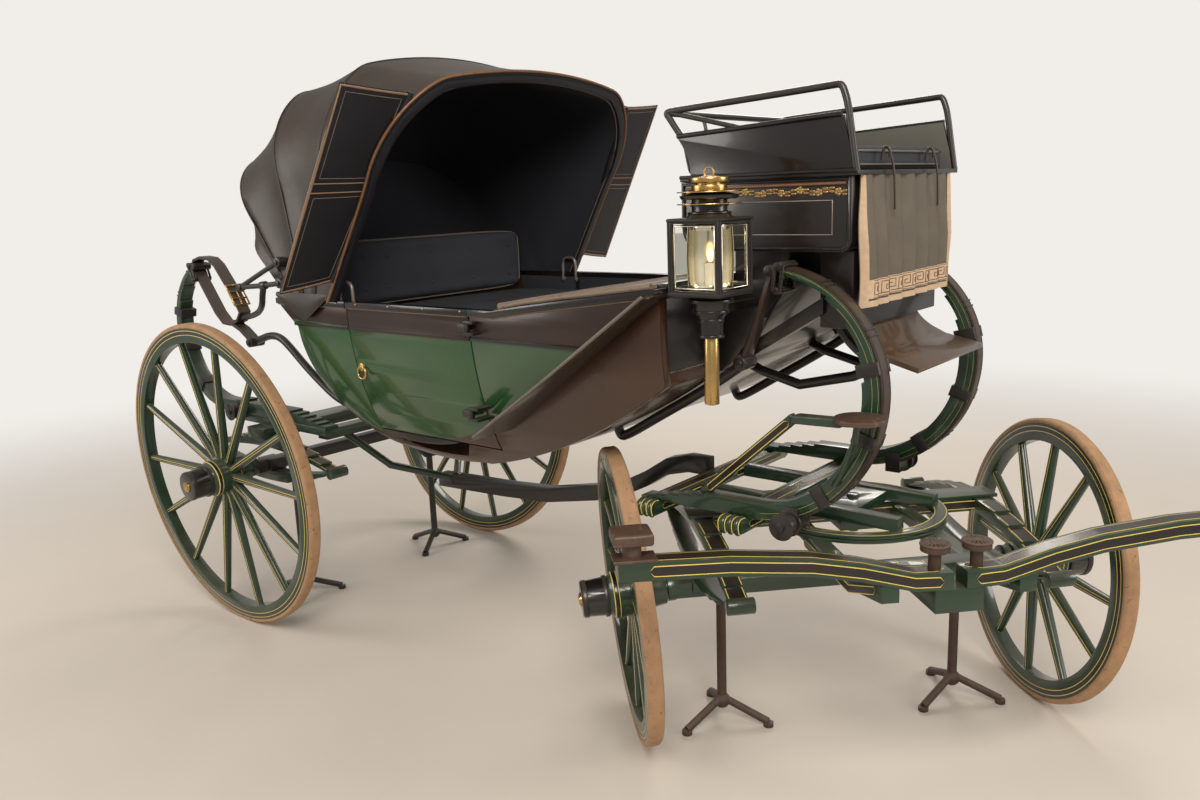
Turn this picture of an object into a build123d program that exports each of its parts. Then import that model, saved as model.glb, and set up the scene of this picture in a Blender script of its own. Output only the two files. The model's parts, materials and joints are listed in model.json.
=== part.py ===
from build123d import *
import math
import os

# Horse drawn carriage. Millimetres, +X forward, +Y left, +Z up. All places are worked out with the
# origin on the floor under the rear axle, and SHIFT moves the whole to the middle of its box.

# ---------------------------------------------------------------- driving dimensions
TRACK = 1400            # between the rear wheel planes, at hub height
FRONT_TRACK = 1354      # between the front wheel planes, at hub height
REAR_RADIUS = 615
FRONT_RADIUS = 453
CAMBER = 3.9            # degrees, tops of the wheels lean out
KING_X = 2358           # kingpin, forward of the rear axle
AXLE_TRAIL = 100        # front axle, behind the kingpin
STEER = -43.7           # degrees, the forecarriage as photographed
BODY_HALF = 620         # outside of the body sides
PANEL = 30              # thickness of walls and doors
BELT_Z = 1310           # top edge of the body sides
FRONT_C_Y = 340          # front C-springs, from the middle, inside the lock of the wheels
REAR_C_Y = 440           # rear C-springs, from the middle
SHIFT = (-1379.58, 83.53, 0)

TYRE_WIDTH, TYRE_BEVEL = 46, 7
# hub heights: the leaning tyre stands on its outer edge
DROP = (TYRE_WIDTH / 2 - TYRE_BEVEL) * math.sin(math.radians(CAMBER))
REAR_Z = REAR_RADIUS * math.cos(math.radians(CAMBER)) + DROP
FRONT_Z = FRONT_RADIUS * math.cos(math.radians(CAMBER)) + DROP
parts = {}


# ---------------------------------------------------------------- helpers
def block(x0, x1, y0, y1, z0, z1):
    return Pos((x0 + x1) / 2, (y0 + y1) / 2, (z0 + z1) / 2) * Box(x1 - x0, y1 - y0, z1 - z0)


def side_plate(face, y0, y1):
    """A face drawn in (x, z), as a plate from y0 to y1."""
    return Pos(0, y1, 0) * extrude(Plane.XZ * face, amount=y1 - y0)


def cross_plate(face, x0, x1):
    """A face drawn in (y, z), as a plate from x0 to x1."""
    return Pos(x0, 0, 0) * extrude(Plane.YZ * face, amount=x1 - x0)


def polygon(*points):
    return make_face(Polyline(*points, close=True))


def band(centre, outer, inner, start, end):
    """A flat ring sector; angles in degrees, counter-clockwise in its plane."""
    def at(r, a):
        return (centre[0] + r * math.cos(math.radians(a)), centre[1] + r * math.sin(math.radians(a)))
    mid = (start + end) / 2
    return make_face([
        ThreePointArc(at(outer, start), at(outer, mid), at(outer, end)),
        Line(at(outer, end), at(inner, end)),
        ThreePointArc(at(inner, end), at(inner, mid), at(inner, start)),
        Line(at(inner, start), at(outer, start)),
    ])


def rod(start, end, radius, radius_end=None):
    a, b = Vector(*start), Vector(*end)
    place = Plane(origin=a, z_dir=b - a)
    length = (b - a).length
    if radius_end is None:
        body = Cylinder(radius, length, align=(Align.CENTER, Align.CENTER, Align.MIN))
    else:
        body = Cone(radius, radius_end, length, align=(Align.CENTER, Align.CENTER, Align.MIN))
    return place * body


def pipe(points, radius):
    """A round bar through straight runs joined by balls."""
    shape = None
    for a, b in zip(points, points[1:]):
        piece = rod(a, b, radius)
        shape = piece if shape is None else shape + piece
    for p in points[1:-1]:
        shape += Pos(*p) * Sphere(radius)
    return shape


def both(shape):
    """A shape and its mirror image on the other side."""
    return shape + mirror(shape, about=Plane.XZ)


def put(name, shape):
    parts[name] = shape


# ---------------------------------------------------------------- wheels
RIM_DEPTH, RIM_WIDTH, TYRE_DEPTH = 56, 44, 16
HUB_OUT, HUB_IN = 145, 115
# profile of the nave along its axle: distance from the rim plane (outwards positive), radius
NAVE = [(-HUB_IN, 0), (-HUB_IN, 50), (-70, 56), (-60, 68), (45, 72), (60, 60), (HUB_OUT, 54), (HUB_OUT, 0)]
ARM = 24               # radius of the axle arm
DISH = 22              # the spokes stand this far inboard at the nave


def wheel(radius, spokes):
    """Rim plane at z = 0, outside up."""
    rim_out = radius - TYRE_DEPTH
    rim = Cylinder(rim_out, RIM_WIDTH) - Cylinder(rim_out - RIM_DEPTH, RIM_WIDTH)
    half = TYRE_WIDTH / 2
    tyre = revolve(Plane.XZ * polygon((rim_out, -half), (radius - 6, -half), (radius, -half + TYRE_BEVEL),
        (radius, half - TYRE_BEVEL), (radius - 6, half), (rim_out, half)), Axis.Z)
    nave = revolve(Plane.XZ * polygon(*[(r, d) for d, r in NAVE]), Axis.Z)
    body = rim + nave
    for i in range(spokes):
        spoke = rod((55, 0, -DISH), (rim_out - RIM_DEPTH + 10, 0, 0), 19, 13)
        body += Rot(0, 0, 360 * i / spokes) * spoke
    body -= Pos(0, 0, -HUB_IN - 1) * Cylinder(ARM + 0.05, HUB_IN + HUB_OUT - 20, align=(Align.CENTER,
        Align.CENTER, Align.MIN))
    return body, tyre


def hub_place(x, y, z, side):
    """The rim plane's place: side is -1 on the right and +1 on the left; z of the place points out
    and down."""
    out = Vector(0, side * math.cos(math.radians(CAMBER)), -math.sin(math.radians(CAMBER)))
    return Plane(origin=(x, y, z), x_dir=(1, 0, 0), z_dir=out)


def to_fore(shape):
    """From forecarriage coordinates, kingpin at (0, 0) and straight ahead, to where it stands."""
    return Pos(KING_X, 0, 0) * Rot(0, 0, STEER) * shape


rear_wheel, rear_tyre = wheel(REAR_RADIUS, 14)
front_wheel, front_tyre = wheel(FRONT_RADIUS, 12)
for side, name in ((-1, "right"), (1, "left")):
    rear = hub_place(0, side * TRACK / 2, REAR_Z, side)
    put("rear_wheel_" + name, rear * rear_wheel)
    put("rear_tyre_" + name, rear * rear_tyre)
    front = hub_place(-AXLE_TRAIL, side * FRONT_TRACK / 2, FRONT_Z, side)
    put("front_wheel_" + name, to_fore(front * front_wheel))
    put("front_tyre_" + name, to_fore(front * front_tyre))


def axle(x, half_track, z):
    """A square beam with a round, slightly drooping arm into each nave."""
    beam = block(x - 24, x + 24, -half_track + HUB_IN + 30, half_track - HUB_IN - 30, z - 24, z + 24)
    out = Vector(0, -math.cos(math.radians(CAMBER)), -math.sin(math.radians(CAMBER)))
    centre = Vector(x, -half_track, z)
    root, tip = centre - out * (HUB_IN + 45), centre + out * (HUB_OUT - 40)
    arm = rod(root, tip, ARM)
    collar = rod(centre - out * (HUB_IN + 30), centre - out * (HUB_IN + 6), 44)
    return beam + both(arm + collar)


# ---------------------------------------------------------------- springs
LEAF_W = 58             # width of the leaves
# table of leaves: how far each ends short of the main leaf, at each end
LEAVES, LEAF_T, LEAF_STEP = 5, 8, 22


def elliptic(x, z, half, rise):
    """Two bowed stacks of leaves, each shorter towards the clamps, that meet at the eyes."""
    radius = (half * half + rise * rise) / (2 * rise)
    spread = math.degrees(math.asin(half / radius))
    face = None
    for i in range(LEAVES):
        cut = spread * (1 - 0.17 * i)
        lower = band((x, z + radius - rise), radius + LEAF_T * i, radius + LEAF_T * (i - 1), 270 - cut,
            270 + cut)
        upper = band((x, z - radius + rise), radius + LEAF_T * i, radius + LEAF_T * (i - 1), 90 - cut, 90
            + cut)
        for piece in (lower, upper):
            face = piece if face is None else face + piece
    plate = side_plate(face, -LEAF_W / 2, LEAF_W / 2)
    for end in (-1, 1):
        plate += Pos(x + end * (half - 4), 0, z) * Rot(90, 0, 0) * Cylinder(22, LEAF_W + 16)
    return plate


ELLIPTIC_TOP = LEAF_T * (LEAVES - 1)
REAR_RISE, FRONT_RISE = 58, 70
rear_eye = REAR_Z - 24 - LEAF_T + REAR_RISE    # the rear springs hang under their axle
front_eye = FRONT_Z + 24 + ELLIPTIC_TOP + FRONT_RISE + 6
REAR_SPRING_Y, FRONT_SPRING_Y = 470, 445
rear_springs = both(Pos(0, -REAR_SPRING_Y, 0) * elliptic(0, rear_eye, 450, REAR_RISE))
front_springs = both(Pos(0, -FRONT_SPRING_Y, 0) * elliptic(-AXLE_TRAIL, front_eye, 470, FRONT_RISE))
rear_bed_z = rear_eye + REAR_RISE + ELLIPTIC_TOP
fore_bed_z = front_eye + FRONT_RISE + ELLIPTIC_TOP

rear_axle = axle(0, TRACK / 2, REAR_Z) + both(block(-45, 45, -REAR_SPRING_Y - 36, -REAR_SPRING_Y + 36,
    REAR_Z - 24, REAR_Z + 24))
put("rear_axle", rear_axle - rear_springs)
put("rear_elliptic_springs", rear_springs)
fore_axle = axle(-AXLE_TRAIL, FRONT_TRACK / 2, FRONT_Z) + both(block(-AXLE_TRAIL - 45, -AXLE_TRAIL + 45,
    -FRONT_SPRING_Y - 36, -FRONT_SPRING_Y + 36, FRONT_Z, front_eye - FRONT_RISE - ELLIPTIC_TOP))
put("front_axle", to_fore(fore_axle))
put("front_elliptic_springs", to_fore(front_springs))

# C-springs. Each is two arcs that meet at its widest point, and a straight foot on the bed.
# columns: name, from the middle, widest x, middle z, radius above, radius below, angle of the tip, x of
# the foot's end, +1 when it faces forward
C_SPRINGS = [
    ("rear_c_springs", REAR_C_Y, -645, 1150, 280, 345, 74, 395, -1),
    ("front_c_springs", FRONT_C_Y, 2597, 1130, 320, 380, 88, 1842, 1),
]
C_LEAVES, C_LEAF_T, C_STEP = 6, 8, 20
C_THICK = C_LEAVES * C_LEAF_T


def c_spring(y, wide_x, z, above, below, tip, foot_x, way):
    """A stack of leaves round most of a circle, then straight along the bed;
    inner leaves end shorter at the tip."""
    cx_up, cx_low = wide_x - way * above, wide_x - way * below
    face = None
    for i in range(C_LEAVES):
        up, low = above - C_LEAF_T * i, below - C_LEAF_T * i
        reach = tip - C_STEP * i * (0.35 if i == 1 else 0.8)
        if way > 0:
            arcs = band((cx_up, z), up, up - C_LEAF_T, 0, reach) + band((cx_low, z), low, low - C_LEAF_T,
                -90, 0)
        else:
            arcs = band((cx_up, z), up, up - C_LEAF_T, 180 - reach, 180) + band((cx_low, z), low, low
                - C_LEAF_T, 180, 270)
        end_x = foot_x - way * 45 * i * -1
        flat = polygon((cx_low, z - low), (end_x, z - low), (end_x, z - low + C_LEAF_T), (cx_low, z - low
            + C_LEAF_T))
        piece = arcs + flat
        face = piece if face is None else face + piece
    spring = side_plate(face, -y - LEAF_W / 2, -y + LEAF_W / 2)
    at = math.radians(tip if way > 0 else 180 - tip)
    spring += Pos(cx_up + (above - 6) * math.cos(at), -y, z + (above - 6) * math.sin(at)) * Rot(90, 0,
        0) * Cylinder(15, LEAF_W + 22)
    return spring


def spring_clips(y, wide_x, z, above, below, tip, foot_x, way):
    """Iron clips that bind the leaves: angle up from the widest point, radius of the arc there."""
    found = None
    for angle, radius in ((-52, below), (-18, below), (14, above)):
        at = angle if way > 0 else 180 - angle
        mid = radius - C_THICK / 2
        x = wide_x - way * radius + mid * math.cos(math.radians(at))
        clip = Pos(x, -y, z + mid * math.sin(math.radians(at))) * Rot(0, -at, 0) * Box(C_THICK + 12,
            LEAF_W + 12, 34)
        found = clip if found is None else found + clip
    return found


def windlass(x, y, z):
    """A brace's winding drum on the outer side of the leaves, with its clip round them."""
    clip = block(x - 24, x + 24, y - LEAF_W / 2 - 8, y + LEAF_W / 2 + 8, z - 8, z + C_THICK + 8)
    face_y = y - LEAF_W / 2 - 8
    for out, radius, deep in ((0, 37, 5), (5, 26, 4), (9, 31, 30), (39, 26, 4), (43, 37, 5), (48, 12, 8)):
        clip += Pos(x, face_y - out, z + 14) * Rot(90, 0, 0) * Cylinder(radius, deep, align=(Align.CENTER,
            Align.CENTER, Align.MIN))
    return clip


clips = None
for name, *sizes in C_SPRINGS:
    put(name, both(c_spring(*sizes)))
    piece = both(spring_clips(*sizes)) - parts[name]
    clips = piece if clips is None else clips + piece
put("spring_clips", clips)
REAR_C_FOOT = C_SPRINGS[0][3] - C_SPRINGS[0][5]
FRONT_C_FOOT = C_SPRINGS[1][3] - C_SPRINGS[1][5]

# ---------------------------------------------------------------- rear bed and perch
rear_bed = block(-60, 60, -530, 530, rear_bed_z, rear_bed_z + 44)
rear_bed += both(block(-280, 395, -REAR_C_Y - 32, -REAR_C_Y + 32, rear_bed_z + 44, REAR_C_FOOT))
rear_bed += block(300, 360, -REAR_C_Y, REAR_C_Y, rear_bed_z + 20, rear_bed_z + 60)
rear_bed -= parts["rear_c_springs"]
put("rear_bed", rear_bed)
winding = both(windlass(2350, -FRONT_C_Y, FRONT_C_FOOT)) - parts["front_c_springs"]
winding += both(windlass(-190, -REAR_C_Y, REAR_C_FOOT)) - parts["rear_c_springs"] - rear_bed
put("brace_windlasses", winding)

PERCH_HALF = 26
PERCH_T = 54
perch_top = [(520, 540), (900, 556), (1130, 572), (1370, 622), (1490, 655), (1600, 712), (1690, 770),
    (1770, 790), (1850, 790)]
perch_low = [(520, 486), (900, 502), (1130, 518), (1370, 566), (1490, 600), (1600, 655), (1690, 712),
    (1780, 735), (1850, 735)]
perch = side_plate(polygon(*(perch_top + perch_low[::-1])), -PERCH_HALF, PERCH_HALF)
stay = pipe([(600, 0, 522), (420, -190, 600), (330, -330, rear_bed_z + 22)], 15)
perch += both(stay)
perch += Pos(600, 0, 522) * Sphere(30)
put("perch", perch - rear_bed)

# ---------------------------------------------------------------- fore beds, wheel plates and kingpin
PLATE_T, PLATE_R = 10, 270
plate_z = FRONT_C_FOOT - 52          # top of the lower wheel plate
lower_bed = block(-AXLE_TRAIL - 45, -AXLE_TRAIL + 45, -490, 490, fore_bed_z, plate_z)
lower_bed += block(-AXLE_TRAIL - 45, -AXLE_TRAIL + 45, -406, 406, fore_bed_z - 40, fore_bed_z)
# futchells: two beams that carry the splinter bar, rising towards it
futchell = polygon((-290, fore_bed_z - 30), (480, fore_bed_z - 30), (678, 700), (678, 744), (610, 744),
    (470, plate_z - PLATE_T), (-290, plate_z - PLATE_T))
for y in (-170, 170):
    lower_bed += side_plate(futchell, y - 22, y + 22)
ring = Cylinder(PLATE_R, PLATE_T, align=(Align.CENTER, Align.CENTER, Align.MIN)) - Cylinder(PLATE_R - 40,
    PLATE_T, align=(Align.CENTER, Align.CENTER, Align.MIN))
lower_bed += Pos(0, 0, plate_z - PLATE_T) * ring
lower_bed += block(-AXLE_TRAIL - 45, 60, -60, 60, fore_bed_z - 30, plate_z - 6)
lower_bed += block(400, 678, -60, 60, fore_bed_z - 24, plate_z) + block(610, 678, -60, 60, plate_z, 722)
lower_bed += block(400, 460, -192, 192, fore_bed_z - 30, plate_z)
lower_bed -= Pos(0, 0, fore_bed_z - 80) * Cylinder(18.05, 200, align=(Align.CENTER, Align.CENTER,
    Align.MIN))
put("lower_fore_bed", to_fore(lower_bed))

upper_z = plate_z + 3
upper = block(1850, 1915, -400, 400, upper_z + PLATE_T, FRONT_C_FOOT)
upper += block(2140, 2215, -400, 400, upper_z + PLATE_T, FRONT_C_FOOT)
upper += both(block(1850, 2560, -150, -106, upper_z + PLATE_T, upper_z + PLATE_T + 36))
# carved ridges on the beds' ends, and their hind corners cut back where the wheels pass
for x in (1868, 1891, 2162, 2187):
    upper -= both(block(x, x + 6, -401, -373, FRONT_C_FOOT - 6, FRONT_C_FOOT + 1))
upper -= both(extrude(Pos(0, 0, upper_z) * polygon((1849, -401), (1849, -362), (1885, -401)), amount=80))
upper += Pos(KING_X, 0, upper_z) * ring
upper += block(2215, KING_X + 60, -110, 110, upper_z + PLATE_T, upper_z + PLATE_T + 30)
upper += Pos(KING_X, 0, fore_bed_z - 50) * Cylinder(18, upper_z + PLATE_T + 40 - fore_bed_z + 50,
    align=(Align.CENTER, Align.CENTER, Align.MIN))
put("upper_fore_bed", upper - parts["perch"])

# ---------------------------------------------------------------- splinter bar and roller bolts
BAR_S, BAR_HALF, BAR_DEEP = 650, 805, 44
# height of the bar's middle line across the carriage: out from the middle, height
BAR_LINE = [(0, 742), (110, 746), (234, 780), (357, 804), (548, 822), (BAR_HALF, 828)]
bar_top = [(y, z + BAR_DEEP / 2) for y, z in BAR_LINE]
bar_low = [(y, z - BAR_DEEP / 2) for y, z in BAR_LINE]
half_bar = cross_plate(polygon(*(bar_top + bar_low[::-1])), BAR_S - 30, BAR_S + 30)
bar = both(half_bar)
bar -= block(BAR_S - 60, BAR_S + 60, -16, 16, 700, 800)
put("splinter_bar", to_fore(bar - lower_bed))
NECK_R, NECK, CAP_R, CAP = 15, 46, 34, 18
bolt_profile = polygon((0, -12), (NECK_R, -12), (NECK_R, NECK), (CAP_R, NECK), (CAP_R, NECK + CAP), (0,
    NECK + CAP))
roller_bolt = revolve(Plane.XZ * bolt_profile, Axis.Z)
bolts = None
# roller bolts: place across, height of the foot
for y, z in ((-770, 849), (-52, 765), (52, 765), (770, 849)):
    bolt = Pos(BAR_S, y, z) * roller_bolt
    bolts = bolt if bolts is None else bolts + bolt
put("roller_bolts", to_fore(bolts - bar))

# ---------------------------------------------------------------- stands
def stand(x, y, top):
    post = rod((x, y, 70), (x, y, top), 15)
    foot = Pos(x, y, 64) * Sphere(26)
    for angle in (60, 180, 300):
        a = math.radians(angle)
        foot += rod((x + 12 * math.cos(a), y + 12 * math.sin(a), 70), (x + 150 * math.cos(a), y
            + 150 * math.sin(a), 15), 12)
        foot += Pos(x + 150 * math.cos(a), y + 150 * math.sin(a), 0) * Cylinder(16, 14,
            align=(Align.CENTER, Align.CENTER, Align.MIN))
    cradle = block(x - 40, x + 40, y - 22, y + 22, top - 10, top)
    return post + foot + cradle


put("rear_stands", both(stand(0, -370, REAR_Z - 24)))
put("front_stands", to_fore(both(stand(-AXLE_TRAIL, -385, FRONT_Z - 24))))

# ---------------------------------------------------------------- body tub
TURN_UNDER, SIDE_DEEP = 100, 420    # the sides lean in by this much, this far below the belt
IN = BODY_HALF - PANEL


def side_y(z):
    """Outside of the body at height z, from the middle."""
    drop = max(0, BELT_Z - z) / SIDE_DEEP
    return BODY_HALF - TURN_UNDER * drop * drop


def side_skin(x0, x1, z_low, z_top, outset=0, inset=PANEL):
    """A length of the curved right side wall."""
    mid = (BELT_Z + z_low) / 2
    face = make_face([
        ThreePointArc((-side_y(z_low) - outset, z_low), (-side_y(mid) - outset, mid), (-BODY_HALF
            - outset, BELT_Z)),
        Line((-BODY_HALF - outset, BELT_Z), (-BODY_HALF - outset, z_top)),
        Line((-BODY_HALF - outset, z_top), (-BODY_HALF + inset, z_top)),
        Line((-BODY_HALF + inset, z_top), (-BODY_HALF + inset, BELT_Z)),
        ThreePointArc((-BODY_HALF + inset, BELT_Z), (-side_y(mid) + inset, mid), (-side_y(z_low) + inset,
            z_low)),
        Line((-side_y(z_low) + inset, z_low), (-side_y(z_low) - outset, z_low)),
    ])
    return cross_plate(face, x0, x1)


SIDE_LOW = 800
side_face = make_face([
    Line((400, BELT_Z), (500, 1228)),
    ThreePointArc((500, 1228), (585, 990), (774, 856)),
    ThreePointArc((774, 856), (1000, 835), (1258, 885)),
    ThreePointArc((1258, 885), (1700, 1108), (2047, 1366)),
    Line((2047, 1366), (2110, 1395)),
    Line((2110, 1395), (1620, 1330)),
    Line((1620, 1330), (1500, BELT_Z)),
    Line((1500, BELT_Z), (400, BELT_Z)),
])
side = side_skin(380, 2140, SIDE_LOW, 1420) & side_plate(side_face, -700, -300)
DOOR_X0, DOOR_X1, DOOR_Z0 = 798, 1400, 866
RAIL_TOP = BELT_Z + 20


def span(x0, x1, z0=0, z1=2500):
    return block(x0, x1, -900, -300, z0, z1)


sill = side & span(DOOR_X0, DOOR_X1, 0, DOOR_Z0)
put("side_rear_quarters", both(side & span(0, DOOR_X0)))
put("side_front_quarters", both(side & span(DOOR_X1, 3000)))
put("door_sills", both(sill))
# below the wings the sides go on down to the belly
low_face = make_face([
    ThreePointArc((1258, 885), (1700, 1108), (2047, 1366)),
    Line((2047, 1366), (2110, 1395)),
    Line((2110, 1395), (2110, 1155)),
    ThreePointArc((2110, 1155), (1620, 896), (1180, 774)),
    Line((1180, 774), (1258, 885)),
])
low_side = (side_skin(380, 2140, SIDE_LOW, 1420) & side_plate(low_face, -700, -300)) - side
low_side -= span(DOOR_X0, DOOR_X1, DOOR_Z0)
put("side_under_wings", both(low_side))

# floor and belly: one curved shell between the sides, with its ends turned up
belly_face = make_face([
    Line((425, BELT_Z), (478, 1200)),
    ThreePointArc((478, 1200), (580, 930), (820, 792)),
    ThreePointArc((820, 792), (1000, 766), (1180, 774)),
    ThreePointArc((1180, 774), (1620, 896), (2110, 1155)),
    Line((2110, 1155), (2110, 1192)),
    ThreePointArc((2110, 1192), (1610, 928), (1175, 804)),
    ThreePointArc((1175, 804), (1000, 796), (835, 822)),
    ThreePointArc((835, 822), (607, 955), (508, 1205)),
    Line((508, 1205), (460, BELT_Z)),
    Line((460, BELT_Z), (425, BELT_Z)),
])
low_in = side_y(SIDE_LOW) - PANEL
half_room = make_face([
    Line((0, BELT_Z), (-IN, BELT_Z)),
    ThreePointArc((-IN, BELT_Z), (PANEL - side_y(1055), 1055), (-low_in, SIDE_LOW)),
    Line((-low_in, SIDE_LOW), (-low_in + 60, 740)),
    Line((-low_in + 60, 740), (0, 740)),
    Line((0, 740), (0, BELT_Z)),
])
room = both(cross_plate(half_room, 300, 2300))
belly = (side_plate(belly_face, -IN, IN) & room) - both(side) - both(low_side)
put("tub_floor", belly)
put("back_panel", block(425, 460, -IN, IN, BELT_Z, RAIL_TOP + 24))
front_panel = (block(2080, 2110, -IN, IN, 1166, BELT_Z) & room) + block(2080, 2110, -IN, IN, BELT_Z, 1425)
put("front_panel", front_panel - belly - both(side) - both(low_side))

# belt rail along the top of the sides and a fine moulding under the belt, both broken at the doors
RAIL_OUT, MOULD_OUT, MOULD_Z = 8, 5, 1234
rail_face = polygon((395, BELT_Z), (1500, BELT_Z), (1620, 1330), (2120, 1396), (2120, 1416), (1620, 1350),
    (1500, RAIL_TOP), (395, RAIL_TOP))
rail = side_plate(rail_face, -BODY_HALF - RAIL_OUT, -IN) - side
moulding = (side_skin(488, 1940, SIDE_LOW, 1420, MOULD_OUT, 0) & span(480, 1870, MOULD_Z, MOULD_Z
    + 10)) - side
rails = (rail + moulding) - span(DOOR_X0, DOOR_X1)
put("belt_rails", both(rails) - parts["back_panel"] - front_panel)

# ---------------------------------------------------------------- doors
DOOR_GAP = 5
door_skin = side_skin(DOOR_X0, DOOR_X1, SIDE_LOW, RAIL_TOP)
door = door_skin & span(DOOR_X0 + DOOR_GAP, DOOR_X1 - DOOR_GAP, DOOR_Z0 + DOOR_GAP, RAIL_TOP)
door += block(DOOR_X0 + DOOR_GAP, DOOR_X1 - DOOR_GAP, -BODY_HALF - RAIL_OUT, -BODY_HALF, BELT_Z, RAIL_TOP)
door += side_skin(DOOR_X0 + DOOR_GAP, DOOR_X1 - DOOR_GAP, SIDE_LOW, 1420, MOULD_OUT, 0) & span(0, 3000,
    MOULD_Z, MOULD_Z + 10)
HANDLE_X, HANDLE_Z = DOOR_X0 + 34, 1086
handle_y = -side_y(HANDLE_Z)
door += Pos(HANDLE_X, handle_y - 4, HANDLE_Z + 20) * Rot(90, 0, 0) * Cylinder(13, 16)
door += Pos(HANDLE_X, handle_y - 12, HANDLE_Z) * Rot(90, 0, 0) * Torus(21, 4)
# hinges: knuckles on the door turn on pins held by two lugs each on the front quarter
HINGE_Z, HINGE_OUT, PIN_R, KNUCKLE_R = (1276, 1010), 14, 5, 9.5
hinge_y = -BODY_HALF - HINGE_OUT
pins = None
for z in HINGE_Z:
    surface = -side_y(z + 20) + 4
    door += block(DOOR_X1 - 36, DOOR_X1, hinge_y - 5, hinge_y + 5, z - 11, z + 11)
    door += block(DOOR_X1 - 36, DOOR_X1 - 12, hinge_y, surface, z - 11, z + 11)
    door += Pos(DOOR_X1, hinge_y, z) * Cylinder(KNUCKLE_R, 22)
    door -= Pos(DOOR_X1, hinge_y, z) * Cylinder(PIN_R + 0.05, 60)
    lugs = Pos(DOOR_X1, hinge_y, z) * Cylinder(PIN_R, 42)
    for end in (-1, 1):
        low, high = sorted((z + end * 13, z + end * 21))
        lugs += block(DOOR_X1 - 8, DOOR_X1 + 34, hinge_y - 8, hinge_y + 7, low, high)
        lugs += block(DOOR_X1 + 4, DOOR_X1 + 34, hinge_y, surface, low, high)
    pins = lugs if pins is None else pins + lugs
put("door_hinge_pins", both(pins - side - rails))
put("door_right", door)
put("door_left", mirror(door, about=Plane.XZ))

# ---------------------------------------------------------------- seats inside
SEAT_TOP, RIDERS_HALF = 1270, 545
seat = block(520, 900, -RIDERS_HALF, RIDERS_HALF, 1140, SEAT_TOP)
put("rear_seat", fillet(seat.edges().filter_by(Axis.Y), 30) - belly - both(side))
box = block(490, 880, -IN, IN, 1120, 1140) + block(862, 880, -IN, IN, 700, 1120)
put("seat_box", ((box & room) - belly) - both(side))
squab = block(460, 545, -520, 520, SEAT_TOP + 0.5, 1520)
put("seat_back", fillet(squab.edges().filter_by(Axis.Y), 25) - parts["back_panel"] - belly)
apron_face = make_face([
    ThreePointArc((1510, 1336), (1640, 1392), (1800, 1420)),
    Line((1800, 1420), (2080, 1440)),
    Line((2080, 1440), (2080, 1425)),
    ThreePointArc((2080, 1425), (1800, 1398), (1620, 1352)),
    Line((1620, 1352), (1510, 1336)),
])
apron = side_plate(apron_face, -IN + 4, IN - 4)
apron += both(side_plate(polygon((1510, 1331), (1620, 1350), (2080, 1410.5), (2080, 1440), (1800, 1420),
    (1640, 1392), (1510, 1336)), -BODY_HALF, -IN + 4))
put("front_apron", apron - parts["belt_rails"] - front_panel)

# ---------------------------------------------------------------- hood
HOOD_T = 14
# sections of the hood from the opening backwards, each on a plane from its foot to its crown
# columns: x of the foot, x of the crown, z of the crown, half width at the foot, half width at the shoulder
HOOD = [
    (735, 1184, 2075, BODY_HALF + 28, BODY_HALF - 42),
    (650, 740, 2165, BODY_HALF + 16, BODY_HALF - 72),
    (575, 340, 2100, BODY_HALF + 10, BODY_HALF - 75),
    (505, 20, 1870, BODY_HALF + 4, BODY_HALF - 72),
    (460, 110, 1590, BODY_HALF, BODY_HALF - 68),
    (427, 397, 1352, BODY_HALF - 3, BODY_HALF - 45),
]


def bow_plane(section):
    """The plane of one section, across in x and along the bow in y, with the length of the bow."""
    foot_x, crown_x, crown_z = section[:3]
    d = Vector(crown_x - foot_x, 0, crown_z - RAIL_TOP)
    return Plane(origin=(foot_x, 0, RAIL_TOP), x_dir=(0, 1, 0), z_dir=Vector(0, 1, 0).cross(d)), d


def arch(section, inset):
    plane, d = bow_plane(section)
    low, high, length = section[3] - inset, section[4] - inset, d.length - inset
    mid = (low + high) / 2 + 14
    way = 1 if plane.y_dir.dot(d) > 0 else -1
    half, shoulder, top = way * length * 0.5, way * length * 0.79, way * length * 0.945
    return plane * make_face([
        Line((-low, 0), (-mid, half)),
        ThreePointArc((-mid, half), (-high, shoulder), (-high * 0.76, top)),
        ThreePointArc((-high * 0.76, top), (0, way * length), (high * 0.76, top)),
        ThreePointArc((high * 0.76, top), (high, shoulder), (mid, half)),
        Line((mid, half), (low, 0)),
        Line((low, 0), (-low, 0)),
    ])


hood_out = loft([arch(s, 0) for s in HOOD], ruled=True)
hood_in = loft([arch(s, HOOD_T) for s in HOOD], ruled=True)
hood = hood_out - hood_in
# the skirt hangs over the belt outside the body
skirt = side_plate(polygon((420, 1345), (470, 1300), (576, 1249), (681, 1318), (720, 1345)), -BODY_HALF
    - 22, -BODY_HALF - RAIL_OUT)
put("hood_shell", (hood + both(skirt)) - parts["back_panel"] - parts["belt_rails"])


def bow(section, width):
    plane, d = bow_plane(section)
    ring_face = arch(section, HOOD_T - 3) - arch(section, HOOD_T + 20)
    return extrude(ring_face, amount=width / 2, dir=plane.z_dir, both=True)


bows = None
for section in HOOD[:4]:
    piece = bow(section, 28)
    bows = piece if bows is None else bows + piece
under_rail = block(0, 1500, -700, 700, 1100, RAIL_TOP)
put("hood_bows", bows - under_rail - hood - parts["seat_back"] - parts["back_panel"])

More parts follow.
